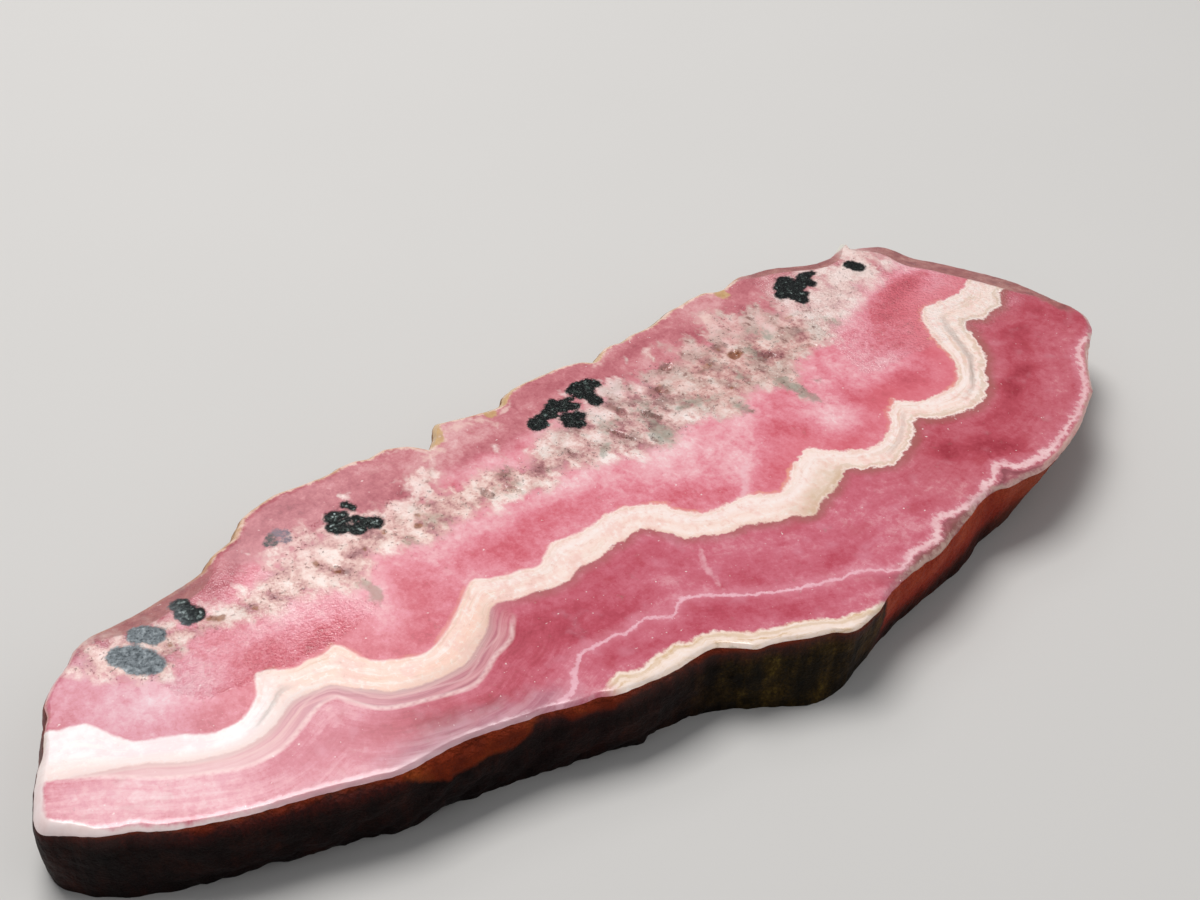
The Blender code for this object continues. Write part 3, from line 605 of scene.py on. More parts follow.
def lobes(points, discs):
    """Distance from the edge of the union of discs, positive inside."""
    return np.max([r - np.hypot(points[:, 0] - x, points[:, 1] - y) for x, y, r in discs], axis=0)


def stone_fields(places, rings):
    """Named values at each point that the materials read."""
    depth = THICKNESS - places[:, 2]
    warp = np.column_stack([noise_at(places, DRIFT_WARP_SIZE, seed) for seed in (11, 12)])
    spot = places[:, :2] + depth[:, None] * (np.array(DRIFT) + DRIFT_WARP * warp)
    wander = np.column_stack([noise_at(places, RAGGED_SIZE, seed) for seed in (13, 14)])
    ragged = spot + RAGGED * wander
    arris = rings[BEVEL_RINGS][:, :2]
    streaks = [line_distance(spot, smooth_line(line)) for line in PALE_STREAKS]
    return {
        "band_up": above(spot, BAND_UPPER),
        "band_down": above(spot, BAND_LOWER),
        "line_two": line_distance(spot, smooth_line(LINE_TWO)),
        "under_two": above(spot, (*LINE_TWO, LINE_TWO_GOES_ON)),
        "line_three": above(spot, LINE_THREE),
        "rim_band": above(spot, RIM_BAND),
        "edge": line_distance(places[:, :2], np.vstack((arris, arris[:1]))),
        "matrix": within(spot, MATRIX),
        "grain": lobes(spot, GRAINS),
        "faint_grain": lobes(spot, FAINT_GRAINS),
        "deep": patches(spot, DEEP_PATCHES) - patches(spot, PALE_PATCHES),
        "clouds": layered(places, CLOUDS),
        "patchy": layered(places, PATCHY),
        "grey": patches(ragged, GREY_PATCHES),
        "brown": patches(ragged, BROWN_PATCHES),
        "rust": patches(spot, RUST_PATCHES),
        "tan": patches(ragged, OCHRE_PATCHES),
        "cream": patches(ragged, CREAM_PATCHES),
        "streak": np.min(streaks, axis=0),
        "along": places[:, 0],
        "depth": depth,
    }


# Masks round the rim: value of each named stretch.
ROUND_RIM = {
    "ochre": {"notch": 1.0, "back middle": 0.75, "back left": 0.6, "back right": 0.7,
              "left dull facet": 0.25, "left shoulder": 0.15},
    "facet": {"left dull facet": 0.85, "right dull facet": 1.0, "back dull facet": 1.0,
              "splinter": 0.3},
    "crust": {"crust": 1.0, "bulge": 0.9, "bulge foot": 1.0, "front middle": 0.85, "front left": 0.85,
              "left bevel": 0.9, "left tip": 0.8},
    "red_wall": {"front hollow": 1.0, "smooth front": 1.0, "front undercut": 0.95, "front right": 0.9,
                 "right tip": 0.6, "right dull facet": 0.4, "front left": 0.95, "left bevel": 0.9,
                 "left tip": 0.9, "left shoulder": 0.4, "front middle": 0.9, "crust": 0.9,
                 "bulge": 0.9, "bulge foot": 0.9},
}


def rim_masks(places, ring_count):
    """Values round the rim, carried to each point from its own station or else the nearest one."""
    names = [name for name, _, stretch in RIM for _ in stretch]
    rim, order, length = rim_line()
    nearest = np.empty(len(places), int)
    for first in range(0, len(places), BLOCK):
        block = places[first:first + BLOCK, None, :2] - rim[None]
        nearest[first:first + BLOCK] = np.einsum("ijk,ijk->ij", block, block).argmin(axis=1)
    nearest[:len(rim) * ring_count] = np.tile(np.arange(len(rim)), ring_count)
    masks = {}
    for mask, values in ROUND_RIM.items():
        at_points = np.array([values.get(name, 0.0) for name in names])
        at_stations = smooth_round(at_points[order.astype(int)][:, None], length, MASK_BLEND)[:, 0]
        masks[mask] = at_stations[nearest]
    return masks


# ---------------------------------------------------------------- materials

def colour(code):
    """A linear colour from a six-digit hexadecimal one."""
    parts = [int(code[i:i + 2], 16) / 255 for i in (0, 2, 4)]
    return (*(p / 12.92 if p <= 0.04045 else ((p + 0.055) / 1.055) ** 2.4 for p in parts), 1.0)


def operator(operation, swapped=False):
    """A method that joins two values by a Math node."""
    def method(self, other):
        return self.graph.math(operation, *((other, self) if swapped else (self, other)))
    return method


class Wire:
    """A node's output. Sums, differences, products and quotients of wires add Math nodes."""

    def __init__(self, graph, socket):
        self.graph, self.socket = graph, socket

    def __abs__(self):
        return self.graph.math("ABSOLUTE", self)

    __add__, __radd__ = operator("ADD"), operator("ADD", swapped=True)
    __sub__, __rsub__ = operator("SUBTRACT"), operator("SUBTRACT", swapped=True)
    __mul__, __truediv__ = operator("MULTIPLY"), operator("DIVIDE")


class Graph:
    """A material whose nodes are added by expressions."""

    def __init__(self, name):
        self.material = bpy.data.materials.new(name)
        self.material.use_nodes = True
        self.tree = self.material.node_tree
        self.shader = self.tree.nodes["Principled BSDF"]
        self.place = self.scaled(self.node("ShaderNodeTexCoord").outputs["Object"], (1 / MM,) * 3)
        self.along = self.value("along")

    def node(self, kind, **settings):
        made = self.tree.nodes.new(kind)
        for name, value in settings.items():
            setattr(made, name, value)
        return made

    def feed(self, socket, value):
        if isinstance(value, Wire):
            value = value.socket
        if isinstance(value, bpy.types.NodeSocket):
            self.tree.links.new(value, socket)
        else:
            socket.default_value = colour(value) if isinstance(value, str) else value

    def output(self, made, output, **inputs):
        """Feed a node's inputs by name, with _ for a space, and give one of its outputs."""
        for name, value in inputs.items():
            self.feed(made.inputs[name.replace("_", " ")], value)
        return Wire(self, made.outputs[output])

    def math(self, operation, *values):
        made = self.node("ShaderNodeMath", operation=operation)
        for socket, value in zip(made.inputs, values):
            self.feed(socket, value)
        return Wire(self, made.outputs[0])

    def value(self, name):
        """A named value of the mesh."""
        return self.output(self.node("ShaderNodeAttribute", attribute_name=name), "Fac")

    def scaled(self, vector, factors):
        made = self.node("ShaderNodeVectorMath", operation="MULTIPLY")
        made.inputs[1].default_value = factors
        return self.output(made, 0, Vector=vector)

    def joined(self, x, y, z):
        return self.output(self.node("ShaderNodeCombineXYZ"), 0, X=x, Y=y, Z=z)

    def split(self, vector):
        made = self.node("ShaderNodeSeparateXYZ")
        self.feed(made.inputs[0], vector)
        return [Wire(self, output) for output in made.outputs]

    def noise(self, size, detail=2.0, where=None, roughness=0.5):
        """Noise about zero, mostly from -0.5 to 0.5, with features of the given size."""
        made = self.output(self.node("ShaderNodeTexNoise"), "Fac", Vector=where or self.place,
                           Scale=1 / size, Detail=detail, Roughness=roughness)
        return (made - 0.5) * 1.6

    def cells(self, size, output, where=None):
        """Distance from the middle of the nearest cell, or the cell's own random colour."""
        return self.output(self.node("ShaderNodeTexVoronoi"), output, Vector=where or self.place,
                           Scale=1 / size)

    def step(self, value, start, end):
        """0 below start, 1 above end and smooth between them; start may be above end."""
        made = self.node("ShaderNodeMapRange", interpolation_type="SMOOTHSTEP", clamp=True)
        return self.output(made, "Result", Value=value, From_Min=start, From_Max=end)

    def past(self, start, end):
        """0 before one place along the slice and 1 past another; towards the left if start > end."""
        return self.step(self.along, start, end)

    def stretch(self, start, full, fade, end):
        """1 along the slice from full to fade, falling to 0 at start and at end."""
        return self.past(start, full) * self.past(end, fade)

    def ramp(self, value, codes, stops=None):
        """Colour along a ramp through six-digit colours, at the given stops or else evenly spaced."""
        made = self.node("ShaderNodeValToRGB")
        elements, codes = made.color_ramp.elements, codes.split()
        while len(elements) < len(codes):
            elements.new(0.5)
        for element, position, code in zip(elements, stops or np.linspace(0, 1, len(codes)), codes):
            element.position, element.color = position, colour(code)
        return self.output(made, "Color", Fac=value)

    def mix(self, share, low, high, blend="MIX"):
        """Colour `low` where share is 0 and `high` where it is 1."""
        made = self.node("ShaderNodeMix", data_type="RGBA", blend_type=blend, clamp_factor=True)
        for index, value in ((0, share), (6, low), (7, high)):
            self.feed(made.inputs[index], value)
        return Wire(self, made.outputs[2])

    def cover(self, stone, *layers):
        """A colour with layers over it, each given by its share and its colour."""
        for share, tint in layers:
            stone = self.mix(share, stone, tint)
        return stone

    def finish(self, bump_height, bump_distance, **inputs):
        """Feed the shader and give the material."""
        bump = self.output(self.node("ShaderNodeBump"), "Normal", Height=bump_height,
                           Distance=bump_distance * MM)
        self.output(self.shader, 0, Normal=bump, **inputs)
        return self.material


def lamina(g, layer, thickness, stretch=0.16, detail=4.0, roughness=0.6):
    """Noise in thin sheets: `layer` counts across them, and each is drawn out along the slice."""
    x, y, _ = g.split(g.place)
    return g.noise(1.0, detail, g.joined(x * stretch, y * stretch, layer * (1 / thickness)), roughness)


def shared(g):
    """The noises and the places that every part of the stone shares, by name."""
    x, y, z = g.split(g.place)
    mottle = g.noise(1.1, 4.0, roughness=0.6)
    swayed = g.joined(x * 1.5 + mottle * 1.4, y * 0.5, z * 1.2)
    crystal = g.cells(0.42, "Color", g.scaled(g.place, (1.0, 0.6, 1.0)))
    up, down = g.value("band_up"), g.value("band_down")
    return SimpleNamespace(
        x=x, y=y, z=z, up=up, down=down, edge=g.value("edge"), depth=g.value("depth"),
        below=g.step(up + down, 0.5, -0.5),     # 1 under the band, 0 over it
        clouds=g.value("clouds"), patchy=g.value("patchy"), mottle=mottle,
        grit=g.noise(0.22, 2.0, roughness=0.6),
        fibres=g.noise(1.0, 4.0, swayed, roughness=0.6),
        crystals=g.split(crystal)[0],
        clumps=g.noise(1.5, 3.0, g.scaled(g.place, (1.0, 0.7, 0.8))),
        flecks=g.noise(0.5, 3.0, g.scaled(g.place, (1.0, 0.75, 1.0)), roughness=0.6),
    )


def pink_stone(g, t):
    """The coral, rose and raspberry stone between the bands."""
    deep = g.value("deep")
    deep = g.math("MAXIMUM", deep, 0.0) * 0.45 + g.math("MINIMUM", deep, 0.0) * 0.33
    tone = (deep + t.clouds * 0.26 + t.mottle * 0.3 + t.flecks * 0.15
            + t.grit * 0.2 + (t.crystals - 0.5) * 0.09)
    left = g.past(-16, -42)
    coral = g.ramp(0.38 + g.step(t.up, 7, 0) * 0.15 + tone + t.fibres * 0.16 + left * 0.1,
                   "F9DFDD F3B6BC E68A97 D4616F B5424F")
    shift = g.past(-5, -22) * 0.08 - g.past(6, 14) * 0.04
    rose = g.ramp(0.50 + shift + tone * 1.1, "F2CFCB E0A4A5 CC7C82 B45D66 8F4149")
    warm = g.step(t.up + t.mottle, 3.6, 0.4) * g.past(8, 16)
    stone = g.cover(coral, (g.step(t.y + t.clouds * 3 + t.clumps, 10.5, 13.5), rose),
                    (warm * (0.4 + g.past(23, 27) * 0.2), "DF6D78"))
    stone = g.mix(g.past(-31, -40) * 0.8, stone, "EBF4FA", "MULTIPLY")

    sheets = (lamina(g, t.down + t.mottle * 0.35, 0.9, detail=3.0) * 0.8
              + lamina(g, t.down, 0.3, detail=2.0) * 0.4)
    fan = lamina(g, g.value("under_two") + t.clouds * 0.4, 0.42, detail=3.0) * g.past(-8, -14)
    shift = g.past(15, 24) * 0.05 - g.stretch(-6, 2, 12, 20) * 0.05
    # Lighter towards the left end: partly the stone's own paler colour and partly painted sheen of the
    # light on the polished face there.
    raspberry = g.ramp(0.55 + shift + tone * 0.85 + sheets * 0.2 + fan * 0.28 - left * 0.2,
                       "F3CED0 E59FA8 D06C7D BE4A5C A62F41")
    patchy = t.patchy + t.flecks * 0.3
    mauve = g.step(t.edge + t.mottle * 1.4, 3.2, 0.8) * g.stretch(-31, -26, -16, -13)
    raspberry = g.cover(raspberry, (g.step(patchy, 0.08, 0.45) * 0.35, "DE92A2"),
                        (g.step(patchy, -0.08, -0.45) * 0.3, "B63E4A"),
                        (mauve * 0.62, g.mix(g.step(sheets, -0.2, 0.2), "9E6676", "CBA2AB")))
    raspberry = g.mix(g.past(14, 24), raspberry, "F9F9F2", "MULTIPLY")
    fringe = g.step(t.down + t.mottle * 0.6, -1.2, -0.05) * g.past(-16, -10)
    raspberry = g.mix(fringe * (0.55 + g.past(2, 10) * 0.2 + t.clumps * 0.5), raspberry, "A5625A")
    return g.mix(t.below, stone, raspberry)


def left_layers(g, t, stone):
    """The fine layers under the band's left half, down to the thin white line."""
    left = g.past(-24, -38)
    between = g.step(g.value("under_two") + t.mottle * 0.15, -0.1, 0.15) * t.below * g.past(-12.5, -16.5)
    sheets = lamina(g, t.down + t.mottle * 0.12, 0.34, 0.1, 3.0)
    # Paler and with less contrast towards the left end: partly the stone's own colour and partly painted
    # sheen of the light there.
    layers = g.ramp(0.38 + sheets * (1.15 - left * 0.75) + t.mottle * 0.15 + left * 0.38,
                    "A96872 C37F88 D4959A E2ADAD F6D7D5", (0, 0.3, 0.5, 0.7, 1))
    beige = g.step(t.down + sheets * 0.5, -0.8, 0.1) * between
    wander = g.value("line_two") + t.mottle * 0.1
    line = g.step(wander, 0.34, 0.02) * g.stretch(-48, -44, -14.6, -13)
    second = g.step(abs(wander - 0.95), 0.2, 0.0) * between
    return g.cover(stone, (between * 0.8, layers), (beige * (0.6 - left * 0.1), "D2B8AC"),
                   (line * (0.75 + t.clumps * 0.4 - left * 0.2), g.mix(left, "F5D3CE", "FBE0DA")),
                   (second * 0.45, "E9BDB8"))


def lower_line(g, t, stone):
    """The thin pinkish line that runs to the right end, and the crumbly rim beyond it there."""
    three, right = g.value("line_three"), g.past(9, 16)
    jagged = three + t.mottle * 0.42 + t.flecks * 0.45 + t.grit * 0.12
    fine = g.step(abs(jagged) - g.past(-9, -14) * 0.08, 0.24, 0.02) * (0.85 + t.clumps * 0.6)
    spread = right * 0.08 - g.past(28, 33) * 0.05
    wide = g.step(abs(jagged - 0.05 + t.flecks * 0.5) - spread, 0.45, 0.0)
    wide = wide * right * (0.78 + t.clumps * 0.8)
    here = g.past(-18, -15.5) * t.below
    halo = g.step(abs(jagged - 0.2), 1.0, 0.1) * 0.32
    outer = g.step(jagged, -0.15, -0.7) * g.past(9, 14) * t.below
    layers = lamina(g, three + t.mottle * 0.3, 0.3, detail=2.0)
    rim = g.ramp(0.33 + layers * 0.9 + t.flecks * 0.4 + g.past(27, 34) * 0.34,
                 "783A3F 95525A B47277 D3A29B EED2CC", (0, 0.35, 0.6, 0.8, 1))
    dusty = g.step(t.edge + t.mottle * 1.2, 1.3, 0.3) * g.stretch(11, 13.5, 20, 26) * t.below
    seam = g.step(t.edge + t.flecks * 0.6, 0.5, 0.1) * g.past(9.5, 12) * t.below
    return g.cover(stone, (outer * 0.85, rim), (dusty * (0.65 + t.flecks), "8C584F"),
                   (halo * here, "E79AA8"),
                   (g.math("MAXIMUM", fine, wide) * here, g.mix(right, "F2BBC6", "F3C9CA")),
                   (seam * g.step(t.mottle, -0.25, 0.1) * 0.55, "DDBFAE"))


def cream_band(g, t, stone):
    """The cream main band with its fine layers, and its orange glow in the stone above."""
    jag = (t.flecks * 0.5 + t.mottle * 0.5 + t.grit * 0.12) * (0.4 + g.past(-14, 4) * 0.6)
    from_up, from_down = jag - t.up, t.down + jag
    band = g.step(from_up, -0.16, 0.15) * g.step(from_down, -0.13, 0.13)
    across = from_down / g.math("MAXIMUM", from_up + from_down, 0.2)
    wavy = across + t.mottle * 0.1 + t.flecks * 0.05
    sheets = lamina(g, wavy * 3.0, 0.55, 0.16, 3.0, 0.7)
    left, right = g.past(-27, -36), g.past(9, 14)
    milky = g.mix(g.step(t.clouds + t.mottle, -0.3, 0.3), "F6E0E0", "FFF4F2")
    cream = g.ramp(across, "F8D5C6 FFE9DE FDDFD2 FFEBE3 FFE3D8", (0, 0.2, 0.45, 0.7, 1))
    cream = g.mix(left * g.step(across, 0.1, 0.5), cream, milky)
    cream = g.mix(g.stretch(-33, -29, -16, -12) * 0.8, cream, "FDEADF", "MULTIPLY")

    striped = 0.2 + g.past(-8, -18) * 0.35 + g.past(19, 24) * 0.35
    sugary = 1 - left * 0.85
    outer_tan = g.step(abs(from_down - 0.42 + t.mottle * 0.3), 0.3, 0.06) * right
    inner_tan = g.step(abs(from_up - 0.3 + t.mottle * 0.2), 0.14, 0.03)
    low_left = g.step(from_down + sheets * 0.4, 1.2, 0.1) * g.past(-25, -31)
    dusk = g.step(from_down + t.mottle * 0.8, 1.3, 0.2) * g.stretch(-27, -22, -16, -13)
    stain = g.step(across, 0.7, 0.2) * g.stretch(9.5, 12, 15.5, 18.5)
    grey = g.step(abs(wavy - 0.47 + t.clumps * 0.08), 0.15, 0.02)
    grey = grey * (g.stretch(30.5, 34.5, 37.6, 39.8) + g.stretch(20.5, 22.5, 25.5, 27) * 0.55
                   + g.stretch(-35, -32.5, -30.8, -29.2) * 0.8)
    cream = g.cover(
        cream,
        (g.step(sheets, 0.04, 0.26) * striped * (1 - left * 0.5), g.mix(left, "DDB89B", "E2CBCC")),
        (g.step(sheets, -0.04, -0.24) * striped, "FFF5EE"),
        (g.step(t.clumps + t.flecks * 0.5, -0.05, 0.35) * sugary * 0.6, "F6C6BC"),
        (g.step(t.flecks + t.grit * 0.5, 0.02, 0.35) * sugary * 0.4, "F3C4B4"),
        (g.step(t.flecks - t.grit * 0.5, -0.05, -0.35) * 0.5, "FFF6F0"),
        (outer_tan * 0.45, "CFAF8F"),
        (g.step(from_down, 0.28, 0.1) * right * 0.7, "FFEDE4"),
        (inner_tan * (0.2 + t.clumps * 0.5) * (1 - left), "DDB89B"),
        (low_left * (0.65 - left * 0.2), g.mix(left, "DBC8C0", "E0CACB")),
        (dusk * 0.5, "E3C0B0"),
        (stain * (0.5 + t.mottle), "CFAE8A"),
        (grey * (0.55 + sheets * 0.9), "A99C93"))
    glow = g.step(abs(from_up + 0.12), 0.3, 0.02) * (1 - band) * (1 - left)
    glow = glow * g.step(t.clouds + t.clumps * 0.3, -0.1, 0.3) * 0.8
    return g.cover(stone, (glow, "F0A990"), (band, cream))


def rim_band(g, t, stone):
    """The cream band along the lower rim, with its layers."""
    rim = g.value("rim_band")
    low = g.step(rim + t.flecks * 0.42 + t.mottle * 0.45, 0.18, -0.18)
    low = low * g.stretch(-13.5, -11.5, 8.6, 10.4) * t.below
    sheets = lamina(g, rim + t.mottle * 0.55, 0.4, 0.22, 3.0, 0.66)
    cream = g.ramp(0.49 + sheets * 0.9 + t.flecks * 0.3,
                   "FFF5EC FDE8DC F8DFCC E6C4A2 C39A6E", (0, 0.35, 0.55, 0.72, 1))
    seam = g.step(abs(rim + 0.45 + t.mottle * 0.5), 0.24, 0.04)
    return g.mix(low, stone, g.mix(seam * (0.4 + t.clumps * 0.5), cream, "CDA46C"))


def matrix_zone(g, t, stone):
    """The crumbly grey-white zone with its clumps and stains. Gives its share and the stone."""
    upper = g.step(t.y + t.clouds * 2, 10, 12.5)
    swayed = g.joined(t.x + t.mottle * 0.9, t.y * 0.55 + t.mottle * 0.4, t.z * 0.8)
    fingers = g.noise(1.35, 3.0, swayed)
    reach = (g.value("matrix") * (0.55 - upper * 0.2) + t.clumps + fingers * (0.7 + upper * 1.6)
             + t.flecks * 0.6)
    hazy = g.past(27, 33)
    share = g.step(reach + hazy * 0.15, -0.4 - hazy * 0.2, 0.5 + hazy * 0.2) * (1 - t.below)
    middle = g.stretch(-9, 6, 27, 34)
    bright = t.clumps * 0.8 + fingers * 0.9 + t.flecks * 0.45 + t.grit * 0.34 + t.clouds * 0.3
    base = g.ramp(0.46 + bright + hazy * 0.14,
                  "935A5C B88080 DAADA6 EFD0C8 FBEAE4", (0, 0.2, 0.4, 0.6, 0.85))
    base = g.mix((1 - middle) * 0.6, base, "FFF8F2", "MULTIPLY")
    base = g.cover(base, (upper * (0.25 + middle * 0.2 - hazy * 0.25), "E7B4B5"),
                   (hazy * 0.45, "F1D3CE"))
    base = g.mix(g.stretch(10, 15, 26, 30), base, "F6EDEA", "MULTIPLY")
    greyness = g.step(t.patchy + middle * 0.2 + t.flecks * 0.2, 0.05, 0.45)
    open_stone = g.step(t.patchy - t.clumps * 0.6 + middle * 0.22, 0.16, 0.44)
    # Where the stone is open, dark specks are painted shade in tiny vugs, and light specks beside them are
    # painted glints of their crystals.
    shaded_holes = g.step(g.noise(0.55, 3.0, g.scaled(g.place, (1.0, 0.7, 1.0)), roughness=0.55), 0.08, 0.3)
    base = g.cover(base, (greyness * (0.22 + middle * 0.18), "ADA394"),
                   (shaded_holes * open_stone * 0.75, "7E4F47"),
                   # painted glints beside the vugs
                   (g.step(t.grit - shaded_holes * 0.1, 0.2, 0.38) * open_stone * 0.7, "FFF2EA"))
    grey = g.step(g.value("grey") + t.flecks * 0.9 + t.clumps * 0.7, 0.25, 0.95)
    brown = g.step(g.value("brown") + t.flecks * 0.9 + t.grit * 0.5, 0.25, 0.8)
    rust = g.step(g.value("rust") + t.flecks * 0.5 + t.grit * 0.4, 0.35, 0.85)
    return share, g.cover(stone, (share, base), (grey * 0.6, g.mix(middle, "94866F", "858A78")),
                          (brown * 0.65, g.mix(t.crystals, "8A5348", "744B44")),
                          (rust * 0.85, g.mix(t.crystals, "7E4420", "A4622F")))


def rims(g, t, stone):
    """The pale and ochre rims and the dull facets. Gives the facets' share and the stone."""
    ochre, soft = g.value("ochre"), g.past(-40, -33)
    # Towards the left end the pale rim widens and turns white: partly the stone's own pale rim and partly a
    # painted highlight, the glare of the light on the rounded edge.
    wide = g.past(-16.5, -29) * (0.2 + g.past(-45, -48) * 0.6)
    pale = g.step(t.edge - wide + t.mottle * 0.4 + t.flecks * 0.2, 0.25 + soft * 0.7, -0.15 - soft * 0.5)
    pale = pale * t.below * g.past(-16.5, -19)
    white = g.ramp(0.5 + t.mottle * 0.8, "EBD2CA FBEBE6 FFF8F5")
    lilac = g.ramp(0.5 + t.mottle * 0.9 + t.flecks * 0.3, "B9929A D6B8BB EBD9D6")
    rim = g.step(t.edge - ochre * 0.5 + t.flecks * 0.55 + t.mottle * 0.5, 0.35, 0.0)
    stained = g.ramp(0.42 + t.mottle * 0.8 - t.edge * 0.35 + ochre * 0.25,
                     "F9E2D6 F0CDB8 D0A26E 94683C", (0, 0.4, 0.6, 1))
    contour = g.step(abs(t.edge - 1.35 + t.mottle * 1.2), 0.22, 0.03)
    contour = contour * g.step(ochre, 0.72, 0.9) * g.step(t.clumps, -0.15, 0.1)
    spots = t.flecks * 0.8 + t.mottle * 0.4
    tip = g.past(46.2, 47.6) * g.step(t.y, -4.2, -2.6) * g.step(t.edge + t.mottle * 0.8, 1.7, 1.1)
    facet = g.value("facet") * g.step(t.depth + t.mottle * 0.08, 0.005, 0.09)
    facet = g.math("MAXIMUM", facet, tip) * g.step(t.depth, THICKNESS - 0.5, THICKNESS - 1.5)
    dull = g.ramp(0.5 + t.mottle * 0.8 + t.fibres * 0.5, "703A3B 95524F AB6D66 C69A8C",
                  (0, 0.4, 0.65, 1))
    sliver = g.stretch(38.2, 39.2, 40.8, 41.2) * g.step(t.y, 16.6, 17.1)
    return facet, g.cover(
        stone,
        # pale rim, its white at the left end partly painted highlight
        (pale * 0.85, g.mix(soft, white, lilac)),
        (rim * g.step(ochre, 0.05, 0.3) * 0.9, stained),
        (contour * 0.4, "F1CDBF"),
        (g.step(g.value("cream") + spots, 0.2, 0.9) * 0.7, "F3D0C5"),
        (g.step(g.value("tan") + spots, 0.3, 0.75) * 0.85,
         g.ramp(0.5 + t.mottle, "A9804E CDA66F E2C49C")),
        (facet * 0.95, dull),
        (sliver * g.step(t.depth, 1.6, 0.7) * 0.85, "DCDDD0"))


def sulphides(g, t, stone):
    """The dark grains with painted glints, the grey ones at the left end, painted lighter partly for glare,
    and the faint one. Gives their share too.
    """
    rough_edge = t.flecks * 0.3 + t.grit * 0.25
    faint = g.step(g.value("faint_grain") + rough_edge, -0.15, 0.2)
    grain = g.step(g.value("grain") + rough_edge, -0.2, 0.1)
    core = g.step(g.value("grain") + t.flecks * 0.5, 0.1, 0.5)
    # glint and shine are painted highlights on the lobes.
    glint = g.step(g.split(g.cells(0.24, "Color"))[0] + t.flecks * 0.9, 0.5, 1.1)
    shine = glint * (0.22 + core * 0.12) + g.past(-14.5, -16) * core * 0.22
    dark = g.ramp(0.18 + t.grit * 0.85 + t.flecks * 0.3 + shine,
                  "040505 121614 38423D 737F7B BCC6C6", (0, 0.35, 0.55, 0.75, 1))
    # The left grains' grey is partly their own colour and partly painted glare.
    grey_and_glare = g.ramp(0.5 + t.grit * 0.7 + t.flecks * 0.5 + glint * 0.1,
                    "2E3337 5B6266 81888C A5ACB0 D5DADD", (0, 0.3, 0.55, 0.8, 1))
    smoky = g.mix(g.step(g.along + t.grit, -23.3, -22.9), "242724", "725E6B")
    return grain, g.cover(stone, (faint * (0.88 + t.grit), smoky),
                          (grain, g.mix(g.past(-31, -36), dark, grey_and_glare)))


def stone_colour(g):
    """The banded stone's colour, and the textures and shares that the surface needs."""
    t = shared(g)
    stone = pink_stone(g, t)
    for part in (left_layers, lower_line, cream_band, rim_band):
        stone = part(g, t, stone)
    share, stone = matrix_zone(g, t, stone)
    facet, stone = rims(g, t, stone)
    streak = g.step(g.value("streak") + t.mottle * 0.5 + t.flecks * 0.3, 0.35, 0.0)
    # Painted sparkles: tiny light specks that stand for glints of light on the polished face.
    painted_sparkles = g.step(g.noise(0.3, 1.0, roughness=0.4), 0.4, 0.54)
    grain, stone = sulphides(g, t, g.cover(stone, (streak * 0.5, "F0BCC2"), (painted_sparkles * 0.75, "FBE6E2")))
    return stone, share, grain, facet, t


def polished_material():
    g = Graph("polished_rhodochrosite")
    stone, matrix, grain, facet, t = stone_colour(g)
    scratches = g.noise(0.5, 2.0, g.scaled(g.place, (0.12, 1.0, 1.0)), roughness=0.7)
    rough = 0.19 + matrix * 0.1 - grain * 0.1 + facet * 0.3 + scratches * 0.06 + t.grit * 0.05
    pits = g.step(g.noise(0.3, 2.0, roughness=0.6), 0.2, 0.42) * g.step(g.value("matrix"), -1.0, 0.6)
    height = (scratches * 0.03 - pits * 0.9 + g.step(g.value("grain"), -0.2, 0.1) * t.grit * 0.5
              + g.value("facet") * t.grit * 0.8)
    return g.finish(height, 0.12, Base_Color=stone, Roughness=g.math("MAXIMUM", rough, 0.08), IOR=1.6,
                    Specular_IOR_Level=0.5 - grain * 0.4)


